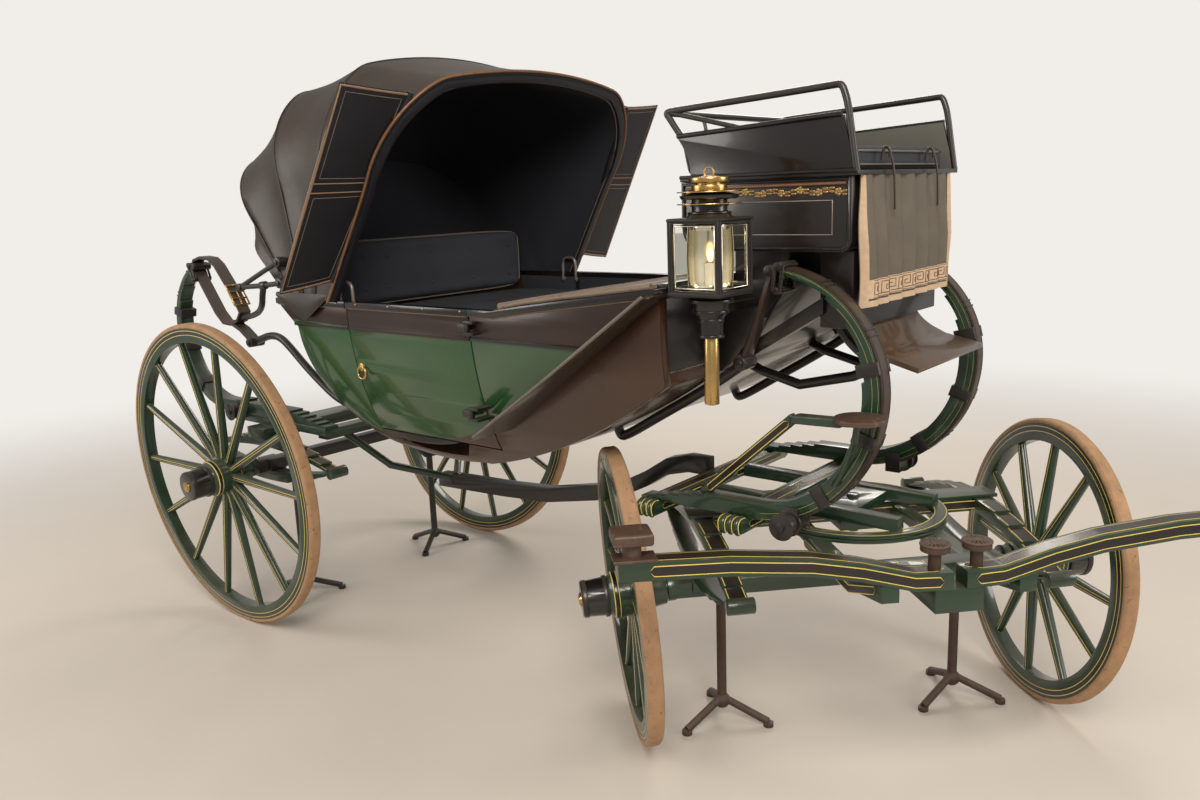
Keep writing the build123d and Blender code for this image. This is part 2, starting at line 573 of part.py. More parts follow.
# wing flaps of the opening, hinged on the rim and folded outward: corners on the right side
FLAP_T = 10
FLAP = [
    (775, -BODY_HALF - 32, 1400), (755, -BODY_HALF - 222, 1375),
    (1100, -BODY_HALF - 172, 2005), (1125, -BODY_HALF + 73, 1985),
]
low_in_corner, low_out, top_out, top_in = [Vector(*corner) for corner in FLAP]
flap_out = (low_out - low_in_corner).cross(top_in - low_in_corner).normalized()
flap = extrude(make_face(Polyline(low_in_corner, low_out, top_in, close=True)), amount=FLAP_T, dir=flap_out)
flap += extrude(make_face(Polyline(low_out, top_out, top_in, close=True)), amount=FLAP_T, dir=flap_out)
# a hinge strip along the rim carries the flap
strip = rod(low_in_corner, top_in, 14)
put("hood_wings", both((flap + strip) - hood_out) - parts["hood_bows"])
joint = pipe([(153, -BODY_HALF - 20, 1360), (447, -BODY_HALF - 20, 1459)], 9)
joint += pipe([(148, -BODY_HALF - 20, 1235), (180, -BODY_HALF - 20, 1312), (447, -BODY_HALF - 20, 1385)], 9)
joint += rod((160, -BODY_HALF - 20, 1358), (180, -BODY_HALF - 20, 1310), 12)
for z in (1459, 1385):
    joint += Pos(447, -BODY_HALF - 8, z) * Rot(90, 0, 0) * Cylinder(19, 36)
put("hood_joint_irons", both(joint - hood_out - skirt))

# ---------------------------------------------------------------- front wings
WING_OUT = BODY_HALF + 180
wing_face = make_face([
    ThreePointArc((1412, 905), (1735, 1120), (2137, 1400)),
    Line((2137, 1400), (2131, 1409)),
    ThreePointArc((2131, 1409), (1729, 1129), (1406, 914)),
    Line((1406, 914), (1412, 905)),
])
wing = side_plate(wing_face, -WING_OUT, -500) - side_skin(380, 2400, SIDE_LOW, 1500, 0, 300)
put("front_wings", both(wing) - parts["belt_rails"] - parts["front_apron"])

# ---------------------------------------------------------------- boot, coachman's seat, hammercloth
SEAT_HALF, CLOTH_HALF = 330, 290
BOX_X0, BOX_X1, BOX_Z0, BOX_Z1 = 1978, 2492, 1490, 1680
box_face = make_face([
    Line((BOX_X0, BOX_Z1), (BOX_X0, 1560)), ThreePointArc((BOX_X0, 1560), (1998, 1508), (2050, BOX_Z0)),
    Line((2050, BOX_Z0), (BOX_X1 - 30, BOX_Z0)), ThreePointArc((BOX_X1 - 30, BOX_Z0), (BOX_X1 - 9, 1499),
        (BOX_X1, 1520)),
    Line((BOX_X1, 1520), (BOX_X1, BOX_Z1)), Line((BOX_X1, BOX_Z1), (BOX_X0, BOX_Z1)),
])
boot = side_plate(box_face, -SEAT_HALF + 8, SEAT_HALF - 8)
COLUMN_X0, COLUMN_X1, COLUMN_Z0 = 2387, 2480, 1288
boot += block(COLUMN_X0, COLUMN_X1, -CLOTH_HALF + 10, CLOTH_HALF - 10, COLUMN_Z0, BOX_Z0)
# toe boards: the lower boot behind the lamps, and the wall that carries the box over them
toe = polygon((2110, 1407), (2321, 1410), (2167, 1207), (2110, 1155))
boot += side_plate(toe, -SEAT_HALF - 5, SEAT_HALF + 5)
boot += block(2120, 2290, -SEAT_HALF + 60, SEAT_HALF - 60, 1408, BOX_Z0)
beam = polygon((2150, 1214), (2165, 1184), (2405, 1328), (2405, 1372))
boot += both(side_plate(beam, -300, -260))
put("boot_box", boot - front_panel - belly)

BASE_T = 12
base = block(1985, 2515, -SEAT_HALF - 8, SEAT_HALF + 8, BOX_Z1, BOX_Z1 + BASE_T)
put("seat_base", base)
base_top = BOX_Z1 + BASE_T
panel_face = make_face([
    Line((2020, base_top), (2508, base_top)), Line((2508, base_top), (2472, 1827)), Line((2472, 1827),
        (1976, 1801)),
    ThreePointArc((1976, 1801), (2008, 1750), (2020, base_top)),
])
seat_side = side_plate(panel_face, -SEAT_HALF - 7, -SEAT_HALF + 7)
put("seat_sides", both(seat_side))
squab = side_plate(polygon((1996, base_top), (2040, base_top), (2012, 1815), (1968, 1808)), -SEAT_HALF
    + 7, SEAT_HALF - 7)
put("seat_squab", squab - both(seat_side))
cushion = block(2046, 2490, -SEAT_HALF + 14, SEAT_HALF - 14, base_top, base_top + 66)
put("seat_cushion", fillet(cushion.edges().filter_by(Axis.Y), 20) - squab)
rail_y = -SEAT_HALF
rail_bar = pipe([(2508, rail_y, base_top - 2), (2482, rail_y, 1853), (2466, rail_y, 1899), (1937, rail_y,
    1873), (1990, rail_y, 1800)], 9)
rail_bar += pipe([(2194, rail_y, 1810), (2066, rail_y, 1842), (1937, rail_y, 1873)], 7)
back_rail = rod((1937, rail_y, 1873), (1937, -rail_y, 1873), 9)
put("seat_rails", (both(rail_bar) + back_rail) - both(seat_side) - squab - base)
CLOTH_TOP, CLOTH_LOW = BOX_Z1, 1352
cloth_face = polygon((BOX_X1, CLOTH_TOP), (BOX_X1 + 24, CLOTH_TOP), (BOX_X1 + 26, CLOTH_LOW), (COLUMN_X1,
    CLOTH_LOW), (COLUMN_X1, 1480), (BOX_X1, 1500))
put("hammercloth", side_plate(cloth_face, -CLOTH_HALF, CLOTH_HALF) - boot)

# footboard: a curved leather-covered board under the cloth, wider at its lip, on two bent irons
FOOT_T = 14
foot_face = make_face([
    ThreePointArc((2435, 1345), (2462, 1262), (2530, 1205)),
    Line((2530, 1205), (2640, 1178)), Line((2640, 1178), (2644, 1192)), Line((2644, 1192), (2538, 1218)),
    ThreePointArc((2538, 1218), (2475, 1270), (2449, 1345)),
    Line((2449, 1345), (2435, 1345)),
])
foot_plan = polygon((2420, -150), (2520, -225), (2660, -240), (2660, 240), (2520, 225), (2420, 150))
footboard = side_plate(foot_face, -260, 260) & extrude(Pos(0, 0, 1100) * foot_plan, amount=400)
put("footboard", footboard - boot)
iron = pipe([(2100, -200, 1170), (2160, -200, 1142), (2285, -200, 1111), (2447, -200, 1149), (2540, -200,
    1196)], 14)
bracket = side_plate(band((2600, 1400), 235, 219, 180, 248), -216, -184)
put("footboard_irons", both((iron + bracket) - footboard - belly - boot - front_panel))

# ---------------------------------------------------------------- lanterns
LAMP_X, LAMP_Y, LAMP_Z0, LAMP_Z1, LAMP_HALF = 2236, -575, 1400, 1590, 75
GLASS_IN = 8


def lamp_box(half, z0, z1):
    return block(LAMP_X - half, LAMP_X + half, LAMP_Y - half, LAMP_Y + half, z0, z1)


lamp = lamp_box(LAMP_HALF, LAMP_Z0, LAMP_Z1) - lamp_box(LAMP_HALF - GLASS_IN, LAMP_Z0 + GLASS_IN, LAMP_Z1
    - GLASS_IN)
open_w = LAMP_HALF - 12
lamp -= block(LAMP_X - open_w, LAMP_X + open_w, LAMP_Y - 100, LAMP_Y + 100, LAMP_Z0 + 14, LAMP_Z1 - 12)
lamp -= block(LAMP_X - 100, LAMP_X + 100, LAMP_Y - open_w, LAMP_Y + open_w, LAMP_Z0 + 14, LAMP_Z1 - 12)
# chimney and candle tube as one turned profile each: radius, height
chimney = [(0, 0), (58, 0), (50, 14), (44, 16), (44, 44), (70, 46), (74, 54), (40, 62), (34, 66), (34,
    84), (48, 86), (48, 94), (0, 104)]
candle = [(0, -282), (12, -282), (17, -268), (17, -108), (30, -104), (32, -60), (44, -40), (44, -14), (60,
    0), (0, 0)]
lamp += Pos(LAMP_X, LAMP_Y, LAMP_Z1) * revolve(Plane.XZ * polygon(*chimney), Axis.Z)
lamp += Pos(LAMP_X, LAMP_Y, LAMP_Z0) * revolve(Plane.XZ * polygon(*candle), Axis.Z)
lamp += block(LAMP_X - 32, LAMP_X - 8, LAMP_Y, -SEAT_HALF, 1345, 1367)
lamp += Pos(LAMP_X, LAMP_Y, LAMP_Z0 + GLASS_IN) * Cylinder(14, 70, align=(Align.CENTER, Align.CENTER,
    Align.MIN))
put("lanterns", both(lamp - boot))
glass = lamp_box(LAMP_HALF - GLASS_IN, LAMP_Z0 + GLASS_IN, LAMP_Z1 - GLASS_IN)
glass -= lamp_box(LAMP_HALF - GLASS_IN - 3, LAMP_Z0 + GLASS_IN, LAMP_Z1 - GLASS_IN)
put("lantern_glass", both(glass))

# ---------------------------------------------------------------- braces, body irons and step disc
def strap(points, middle, width, thick):
    """A flat strap through points given in (x, z)."""
    face = None
    for (x0, z0), (x1, z1) in zip(points, points[1:]):
        d = Vector(x1 - x0, z1 - z0, 0).normalized()
        n = Vector(-d.Y, d.X, 0) * (thick / 2)
        piece = polygon((x0 - n.X, z0 - n.Y), (x1 - n.X, z1 - n.Y), (x1 + n.X, z1 + n.Y), (x0 + n.X, z0
            + n.Y))
        face = piece if face is None else face + piece
    for x, z in points[1:-1]:
        face += Pos(x, z) * Circle(thick / 2)
    return side_plate(face, -middle - width / 2, -middle + width / 2)


STRAP_W, STRAP_T = 50, 12
rear_strap = strap([(-300, 1418), (-285, 1200), (-240, 1160), (-190, 1178), (-132, 1232)], REAR_C_Y,
    STRAP_W, STRAP_T)
rear_strap += strap([(-285, 1200), (-200, 1140), (-76, 1112)], REAR_C_Y, STRAP_W - 6, STRAP_T)
front_strap = strap([(2284, 1434), (2240, 1310), (2192, 1192)], FRONT_C_Y, STRAP_W, STRAP_T)
rear_iron = pipe([(-76, -REAR_C_Y, 1112), (86, -REAR_C_Y, 1121), (212, -REAR_C_Y, 1053), (440, -REAR_C_Y,
    927), (612, -REAR_C_Y, 908)], 15)
front_iron = pipe([(2192, -FRONT_C_Y, 1190), (2098, -FRONT_C_Y, 1120), (1903, -FRONT_C_Y, 1005), (1752,
    -FRONT_C_Y, 918), (1737, -FRONT_C_Y, 952)], 15)
rear_iron += Pos(-76, -REAR_C_Y, 1112) * Rot(90, 0, 0) * Cylinder(20, STRAP_W + 14)
front_iron += Pos(2192, -FRONT_C_Y, 1185) * Rot(90, 0, 0) * Cylinder(20, STRAP_W + 14)
put("rear_braces", both(rear_strap) - parts["rear_c_springs"])
put("front_braces", both(front_strap) - parts["front_c_springs"] - boot)
irons = both(rear_iron - rear_strap) + both(front_iron - front_strap)
put("body_irons", irons - belly)

# the coachman's step: a round tread outside the right front C-spring
STEP_X, STEP_Y, STEP_Z, STEP_R = 2581, -FRONT_C_Y - 105, 1092, 64
step = Pos(STEP_X, STEP_Y, STEP_Z) * Cylinder(STEP_R, 12)
step += pipe([(2058, -FRONT_C_Y, 798), (2345, -FRONT_C_Y - 12, 1048), (2410, STEP_Y + 20, 1070),
    (STEP_X - 30, STEP_Y, 1079)], 10)
step += pipe([(2572, STEP_Y + 4, 1085), (2562, STEP_Y + 10, 1030), (2530, STEP_Y + 22, 960),
    (2490, STEP_Y + 46, 900)], 8)
step += rod((2490, STEP_Y + 46, 900), (2490, -FRONT_C_Y, 900), 8)
put("coachman_step", step - parts["front_c_springs"])

os.makedirs("parts", exist_ok=True)
whole = None
for name, shape in parts.items():
    moved = Pos(*SHIFT) * shape
    export_step(moved, "parts/" + name + ".step")
    box = moved.bounding_box()
    whole = box if whole is None else whole.add(box)
print("nodes", len(parts), "box", whole.min, whole.max)
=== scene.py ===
import math
import bpy
from mathutils import Matrix, Vector, noise
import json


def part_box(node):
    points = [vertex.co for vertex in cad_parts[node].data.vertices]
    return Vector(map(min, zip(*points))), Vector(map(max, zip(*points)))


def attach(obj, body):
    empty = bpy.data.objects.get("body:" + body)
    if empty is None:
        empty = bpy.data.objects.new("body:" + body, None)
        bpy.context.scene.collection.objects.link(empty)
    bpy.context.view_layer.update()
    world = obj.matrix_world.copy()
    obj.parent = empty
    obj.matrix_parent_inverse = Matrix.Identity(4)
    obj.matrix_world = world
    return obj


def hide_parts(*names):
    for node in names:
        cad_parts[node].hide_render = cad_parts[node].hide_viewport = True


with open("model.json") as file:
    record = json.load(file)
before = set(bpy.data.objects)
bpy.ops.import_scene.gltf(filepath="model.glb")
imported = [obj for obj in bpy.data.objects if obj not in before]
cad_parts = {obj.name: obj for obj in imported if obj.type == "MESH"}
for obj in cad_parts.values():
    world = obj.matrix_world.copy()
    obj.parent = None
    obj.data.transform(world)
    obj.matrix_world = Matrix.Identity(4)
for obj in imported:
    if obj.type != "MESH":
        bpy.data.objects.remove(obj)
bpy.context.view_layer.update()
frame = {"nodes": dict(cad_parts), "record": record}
nodes = frame["nodes"]
record = frame["record"]
BODY_OF = {node: body for body, names in record["behaviour"]["bodies"].items() for node in names}
JOINTS = {joint["name"]: joint for joint in record["behaviour"]["joints"]}

# Places are in the maker's millimetres: x forward from the rear axle, y left from the middle, z up.
axle_low, axle_high = [Vector(corner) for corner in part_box("rear_axle")]
AXLE_X, MIDDLE_Y = (axle_low.x + axle_high.x) / 2, (axle_low.y + axle_high.y) / 2
MM = 0.001
AHEAD, LEFT, UP = Vector((1, 0, 0)), Vector((0, 1, 0)), Vector((0, 0, 1))


def spot(x, y, z):
    return Vector((AXLE_X + x * MM, MIDDLE_Y + y * MM, z * MM))


def side_run(y, line):
    """Places at one y for a line of x and z."""
    return [spot(x, y, z) for x, z in line]


# the forecarriage: s forward of the kingpin, t left, turned as it stands
KING_X, STEER = 2358, math.radians(-43.7)


def fore(s, t, z):
    return spot(KING_X + s * math.cos(STEER) - t * math.sin(STEER),
                s * math.sin(STEER) + t * math.cos(STEER), z)


# Camera and light
VIEW_FROM = spot(3606.3, -2679.6, 1659.7)
VIEW_RIGHT = Vector((0.77446389, 0.63157556, -0.03630423))
VIEW_UP = Vector((-0.10115688, 0.18028307, 0.97839936))
VIEW_BACK = Vector((0.62447816, -0.75406255, 0.20351094))
lens = bpy.data.cameras.new("view")
lens.sensor_width, lens.lens = 36, 29.88
camera = bpy.data.objects.new("view", lens)
turn = Matrix((VIEW_RIGHT, VIEW_UP, VIEW_BACK)).transposed()
camera.matrix_world = Matrix.Translation(VIEW_FROM) @ turn.to_4x4()
bpy.context.collection.objects.link(camera)
bpy.context.scene.camera = camera
bpy.context.scene.view_settings.view_transform = "Standard"


def soft_lamp(name, place, aim, size, power, warmth):
    light = bpy.data.lights.new(name, "AREA")
    light.shape, light.size, light.energy = "DISK", size, power
    light.color = warmth
    lamp = bpy.data.objects.new(name, light)
    lamp.location = place
    lamp.rotation_euler = (Vector(aim) - Vector(place)).to_track_quat("-Z", "Y").to_euler()
    bpy.context.collection.objects.link(lamp)


soft_lamp("key", (3.2, -3.4, 4.2), (0, 0, 0.9), 2.4, 210, (1.0, 0.93, 0.84))
soft_lamp("fill", (-3.6, -3.8, 2.6), (-0.4, 0, 0.9), 2.6, 85, (1.0, 0.96, 0.90))
soft_lamp("back", (-1.5, 4.2, 3.8), (0, 0, 1.0), 2.6, 110, (1.0, 0.94, 0.86))
soft_lamp("front", (4.8, 1.6, 2.4), (0.8, 0, 0.9), 1.8, 60, (1.0, 0.95, 0.88))


# Finishes
def add_node(tree, kind, inputs=(), **settings):
    """A shader node with its settings; each input is set, or linked where a socket is given."""
    node = tree.nodes.new("ShaderNode" + kind)
    for key, value in settings.items():
        setattr(node, key, value)
    for key, value in dict(inputs).items():
        if isinstance(value, bpy.types.NodeSocket):
            tree.links.new(value, node.inputs[key])
        else:
            node.inputs[key].default_value = value
    return node


def math_node(tree, operation, first, second=0.0, third=0.0):
    return add_node(tree, "Math", enumerate((first, second, third)), operation=operation).outputs[0]


def within(tree, value, low, high):
    above = math_node(tree, "GREATER_THAN", value, low)
    return math_node(tree, "MULTIPLY", above, math_node(tree, "LESS_THAN", value, high))


def mixed(tree, share, first, second):
    """A colour socket between two colours, each a socket or a value."""
    pair = [(*value, 1) if isinstance(value, tuple) else value for value in (first, second)]
    return add_node(tree, "Mix", {0: share, 6: pair[0], 7: pair[1]}, data_type="RGBA").outputs[2]


def grain(tree, place, scale, detail=4, rough=0.6):
    values = {"Scale": scale, "Detail": detail, "Roughness": rough, "Vector": place}
    return add_node(tree, "TexNoise", values).outputs["Fac"]


def object_place(tree):
    return add_node(tree, "TexCoord").outputs["Object"]


ROOM_WHITE, ROOM_DIM, ROOM_BRIGHT = (1.0, 0.965, 0.92, 1), 0.42, 0.88
world = bpy.data.worlds.new("studio")
bpy.context.scene.world = world
world.use_nodes = True
sky = world.node_tree
rays = add_node(sky, "LightPath").outputs
seen = math_node(sky, "MAXIMUM", rays["Is Camera Ray"], rays["Is Transmission Ray"])
level = add_node(sky, "MapRange", {"To Min": ROOM_DIM, "To Max": ROOM_BRIGHT, "Value": seen})
backdrop = sky.nodes["Background"]
backdrop.inputs["Color"].default_value = ROOM_WHITE
sky.links.new(level.outputs["Result"], backdrop.inputs["Strength"])

DUST = (0.33, 0.26, 0.19)


def finish(name, colour, rough, metal=0.0, coat=0.0, mottle=0.3, patch=9, fine=160, bump=0.12, depth=0.0004,
           dust=0.0, worn=None):
    """A material with mottled colour, uneven gloss, a fine bump and dust on what faces up."""
    material = bpy.data.materials.new(name)
    material.use_nodes = True
    tree = material.node_tree
    shader = tree.nodes["Principled BSDF"]
    place = object_place(tree)
    cloud, speck = grain(tree, place, patch, 5), grain(tree, place, fine, 3)
    dark = tuple(c * (1 - mottle) for c in colour)
    light = tuple(min(1, c * (1 + mottle)) for c in colour)
    shade = mixed(tree, cloud, dark, light)
    if worn:
        shade = mixed(tree, within(tree, grain(tree, place, patch * 2.3, 8, 0.75), 0.60, 2), shade, worn)
    if dust:
        up = add_node(tree, "SeparateXYZ", {0: add_node(tree, "NewGeometry").outputs["Normal"]})
        lying = math_node(tree, "MULTIPLY", math_node(tree, "MAXIMUM", up.outputs["Z"], 0.0), dust)
        shade = mixed(tree, math_node(tree, "MULTIPLY", lying, cloud), shade, DUST)
    relief = add_node(tree, "Bump", {"Strength": bump, "Distance": depth, "Height": speck})
    gloss = math_node(tree, "MULTIPLY_ADD", cloud, 0.28 * rough, rough * 0.86)
    for socket, name in ((shade, "Base Color"), (gloss, "Roughness"), (relief.outputs["Normal"], "Normal")):
        tree.links.new(socket, shader.inputs[name])
    for name, value in (("Metallic", metal), ("Coat Weight", coat), ("Coat Roughness", 0.08)):
        shader.inputs[name].default_value = value
    return material


def paint_over(material, mask, colour):
    tree = material.node_tree
    socket = tree.nodes["Principled BSDF"].inputs["Base Color"]
    tree.links.new(mixed(tree, mask, socket.links[0].from_socket, colour), socket)


GREEN, BLACK, YELLOW = (0.008, 0.032, 0.014), (0.008, 0.007, 0.007), (0.72, 0.55, 0.13)
GREEN_PANEL = (0.012, 0.066, 0.015)
green_coach_paint = finish("green_coach_paint", GREEN, 0.32, coat=0.5, dust=0.35)
black_coach_paint = finish("black_coach_paint", (0.010, 0.007, 0.006), 0.30, coat=0.25, dust=0.12)
lining_yellow = finish("lining_yellow", YELLOW, 0.45, mottle=0.2, patch=60)
# dull light lines along the C-springs' leaf edges: painted highlight on the laminations
leaf_edge_highlight = finish("leaf_edge_highlight", (0.30, 0.27, 0.10), 0.45, mottle=0.3, patch=60)
body_green = finish("body_green", GREEN_PANEL, 0.26, coat=0.7, mottle=0.42, patch=3.2, fine=60, bump=0.05)
forged_iron = finish("forged_iron", (0.014, 0.011, 0.010), 0.38, coat=0.2, mottle=0.4, patch=30,
                     bump=0.3, dust=0.25)
rusty_iron = finish("rusty_iron", (0.060, 0.033, 0.022), 0.62, mottle=0.5, patch=40, bump=0.6, dust=0.4)
brass = finish("brass", (0.56, 0.37, 0.14), 0.28, metal=1.0, mottle=0.2, patch=30, bump=0.1)
old_gilt = finish("old_gilt", (0.34, 0.22, 0.09), 0.42, metal=0.8, mottle=0.5, patch=60, bump=0.3)
silvered = finish("silvered", (0.86, 0.80, 0.66), 0.16, metal=1.0, mottle=0.1)
tan_tyre = finish("tan_tyre", (0.40, 0.235, 0.125), 0.85, mottle=0.35, patch=22, bump=0.8, depth=0.0008,
                  worn=(0.24, 0.14, 0.08))
hood_hide = finish("hood_hide", (0.026, 0.0165, 0.010), 0.46, mottle=0.55, patch=4.5, fine=240, bump=0.5,
                   dust=0.16, worn=(0.042, 0.027, 0.017))
hood_black = finish("hood_black", (0.006, 0.006, 0.009), 0.6, mottle=0.4, patch=8, fine=240, bump=0.35)
lining_cloth = finish("lining_cloth", (0.017, 0.018, 0.025), 0.9, mottle=0.35, patch=5, fine=900, bump=0.6)
seat_cloth = finish("seat_cloth", (0.030, 0.033, 0.042), 0.9, mottle=0.35, patch=7, fine=900, bump=0.6)
hammer_cloth = finish("hammer_cloth", (0.115, 0.098, 0.076), 0.9, mottle=0.3, patch=14, fine=700, bump=0.7)
panel_cloth = finish("panel_cloth", (0.100, 0.094, 0.078), 0.85, mottle=0.25, patch=9, fine=900, bump=0.5)
key_brown = finish("key_brown", (0.11, 0.065, 0.035), 0.9, mottle=0.2, patch=60, fine=700, bump=0.6)
piping_brown = finish("piping_brown", (0.24, 0.145, 0.085), 0.5, mottle=0.3, patch=40)
copper_bead = finish("copper_bead", (0.20, 0.095, 0.045), 0.4, metal=0.3, mottle=0.4, patch=30)
patent_hide = finish("patent_hide", (0.008, 0.006, 0.006), 0.26, coat=0.35, mottle=0.4, patch=7, fine=90,
                     bump=0.2, depth=0.001)
wing_hide = finish("wing_hide", (0.024, 0.012, 0.006), 0.26, coat=0.3, mottle=0.75, patch=2.2,
                   fine=60, bump=0.2, depth=0.001)
ledge_hide = finish("ledge_hide", (0.20, 0.145, 0.105), 0.6, mottle=0.3, patch=8, fine=260, bump=0.4,
                    worn=(0.12, 0.08, 0.06))
brace_hide = finish("brace_hide", (0.036, 0.021, 0.014), 0.42, coat=0.2, mottle=0.4, patch=16, fine=240,
                    bump=0.5, dust=0.22)
cover_hide = finish("cover_hide", (0.075, 0.042, 0.028), 0.45, mottle=0.5, patch=20, fine=200, bump=0.5,
                    worn=(0.16, 0.10, 0.07))
foot_hide = finish("foot_hide", (0.085, 0.048, 0.026), 0.3, coat=0.4, mottle=0.5, patch=9, fine=90, bump=0.3)
braid_cream = finish("braid_cream", (0.50, 0.36, 0.24), 0.9, mottle=0.25, patch=60, fine=700, bump=0.8)
belly_brown = finish("belly_brown", (0.046, 0.018, 0.007), 0.26, coat=0.3, mottle=0.6, patch=3,
                     fine=60, bump=0.05)
belt_brown = finish("belt_brown", (0.022, 0.009, 0.005), 0.34, coat=0.1, mottle=0.6, patch=7, bump=0.1)
piping_grey = finish("piping_grey", (0.13, 0.105, 0.085), 0.5, mottle=0.3, patch=40)
# light iron: the belt grab loops' finish, and painted highlight on the boot's dark inner moulding line
silvered_iron_and_highlight = finish("silvered_iron_and_highlight", (0.24, 0.21, 0.19), 0.4, metal=0.6, mottle=0.3, patch=40)
candle_wax = finish("candle_wax", (0.78, 0.70, 0.55), 0.5, mottle=0.1, patch=40)
candle_flame = finish("candle_flame", (1.0, 0.72, 0.32), 0.5, mottle=0.1, patch=40)
clear_pane = bpy.data.materials.new("clear_pane")
clear_pane.use_nodes = True
for material, values in ((candle_flame,
                          (("Emission Color", (1.0, 0.66, 0.28, 1)), ("Emission Strength", 3.0))),
                         (clear_pane, (("Base Color", (0.95, 0.95, 0.90, 1)), ("Roughness", 0.04),
                                       ("Transmission Weight", 1.0), ("IOR", 1.1)))):
    for name, value in values:
        material.node_tree.nodes["Principled BSDF"].inputs[name].default_value = value


# Modelling helpers
def alone(piece):
    bpy.ops.object.select_all(action="DESELECT")
    piece.select_set(True)
    bpy.context.view_layer.objects.active = piece


def added(operator, **values):
    """A new primitive, alone in the selection."""
    bpy.ops.object.select_all(action="DESELECT")
    operator(**values)
    return bpy.context.active_object


def fix_place(piece):
    """Works a piece's own place, turn and scale into its points."""
    alone(piece)
    bpy.ops.object.transform_apply(location=True, rotation=True, scale=True)


def settle(piece, name, material, smooth=60, body="root"):
    """Names a finished piece, or a list of them as one, applies its place, and makes it ride on its body."""
    if isinstance(piece, list):
        piece = joined(piece)
    fix_place(piece)
    piece.name = name
    piece.data.name = name
    piece.data.materials.clear()
    piece.data.materials.append(material)
    bpy.ops.object.shade_smooth_by_angle(angle=math.radians(smooth))
    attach(piece, body)
    return piece


def apply_modifier(piece, kind, **values):
    alone(piece)
    modifier = piece.modifiers.new(kind.lower(), kind)
    for key, value in values.items():
        setattr(modifier, key, value)
    bpy.ops.object.modifier_apply(modifier=modifier.name)


MERGE = (bpy.ops.mesh.remove_doubles, {"threshold": 0.00002})


def edit(piece, *steps):
    """Edit mode operators, each with its values, one after another on the whole piece."""
    alone(piece)
    bpy.ops.object.mode_set(mode="EDIT")
    bpy.ops.mesh.select_all(action="SELECT")
    for operator, values in steps:
        operator(**values)
    bpy.ops.object.mode_set(mode="OBJECT")


def outward(piece):
    edit(piece, MERGE, (bpy.ops.mesh.normals_make_consistent, {"inside": False}))


def cut(piece, place, normal, **how):
    edit(piece, (bpy.ops.mesh.bisect, {"plane_co": place, "plane_no": normal, **how}))


def thicken(piece, thick):
    apply_modifier(piece, "SOLIDIFY", thickness=thick, offset=0)
    return piece


def dress(node, material, bevel=0.0014):
    """A copy of a CAD node with merged faces, softened edges and a finish, in the node's place."""
    source = nodes[node]
    piece = source.copy()
    piece.data = source.data.copy()
    piece.parent = None
    bpy.context.collection.objects.link(piece)
    piece.hide_render = False
    edit(piece, MERGE, (bpy.ops.mesh.dissolve_limited, {"angle_limit": math.radians(1.0)}))
    if piece.data.has_custom_normals:
        bpy.ops.mesh.customdata_custom_splitnormals_clear()
    if bevel:
        apply_modifier(piece, "BEVEL", width=bevel, segments=2, limit_method="ANGLE",
                       angle_limit=math.radians(38), use_clamp_overlap=True)
    settle(piece, node + "_finished", material, 35, BODY_OF[node])
    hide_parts(node)
    return piece


def sheet_of(across, along, place):
    """A grid primitive with each point moved to place(u, v), u and v from 0 to 1."""
    piece = added(bpy.ops.mesh.primitive_grid_add, x_subdivisions=across, y_subdivisions=along,
                  size=1, calc_uvs=True)
    for point in piece.data.vertices:
        point.co = place(point.co.x + 0.5, point.co.y + 0.5)
    piece.data.update()
    return piece


def joined(pieces):
    bpy.ops.object.select_all(action="DESELECT")
    for piece in pieces:
        piece.select_set(True)
    bpy.context.view_layer.objects.active = pieces[0]
    bpy.ops.object.join()
    return bpy.context.active_object


def wire(points, radius, closed=False, smooth_curve=True, sides=3):
    """A round bar or bead along points, as a mesh."""
    curve = bpy.data.curves.new("wire", "CURVE")
    curve.dimensions = "3D"
    curve.bevel_depth, curve.bevel_resolution, curve.use_fill_caps = radius, sides, True
    spline = curve.splines.new("NURBS" if smooth_curve else "POLY")
    spline.points.add(len(points) - 1)
    for point, value in zip(spline.points, points):
        point.co = (*value, 1)
    spline.use_cyclic_u = closed
    if smooth_curve:
        spline.order_u = 3
        spline.use_endpoint_u = not closed
    piece = bpy.data.objects.new("wire", curve)
    bpy.context.collection.objects.link(piece)
    alone(piece)
    bpy.ops.object.convert(target="MESH")
    return bpy.context.active_object


def rod(points, radius, closed=False, sides=3):
    """A wire of straight runs."""
    return wire(points, radius, closed, False, sides)


def ribbon(points, across, width, thick=0.0004):
    """A flat painted line along points; across is its direction over the surface, one or one per point."""
    sides = across if isinstance(across, list) else [across] * len(points)
    count = len(points) - 1

    def place(u, v):
        at = min(count, round(v * count))
        return points[at] + sides[at].normalized() * (u - 0.5) * width
    piece = sheet_of(1, count, place)
    thicken(piece, thick)
    return piece


def drum(place, axis, radius, depth, sides=24, edge=0.001):
    """A short turned boss with a softened edge."""
    turn_to = Vector(axis).to_track_quat("Z", "Y").to_euler()
    piece = added(bpy.ops.mesh.primitive_cylinder_add, vertices=sides, radius=radius, depth=depth,
                  location=place, rotation=turn_to)
    fix_place(piece)
    apply_modifier(piece, "BEVEL", width=edge, segments=2, limit_method="ANGLE", angle_limit=math.radians(40))
    return piece


def bar_between(first, second, wide, thick, edge=0.003):
    """A flat bar on the line between two places, wide upright across the line and thick sideways."""
    along = (second - first).normalized()
    side = along.cross(UP).normalized()
    piece = added(bpy.ops.mesh.primitive_cube_add, size=1)
    size = Matrix.Diagonal(((second - first).length, thick, wide, 1))
    turned = Matrix((along, side * -1, side.cross(along))).transposed().to_4x4()
    piece.matrix_world = Matrix.Translation((first + second) / 2) @ turned @ size
    fix_place(piece)
    apply_modifier(piece, "BEVEL", width=edge, segments=3, limit_method="ANGLE", angle_limit=math.radians(40))
    return piece


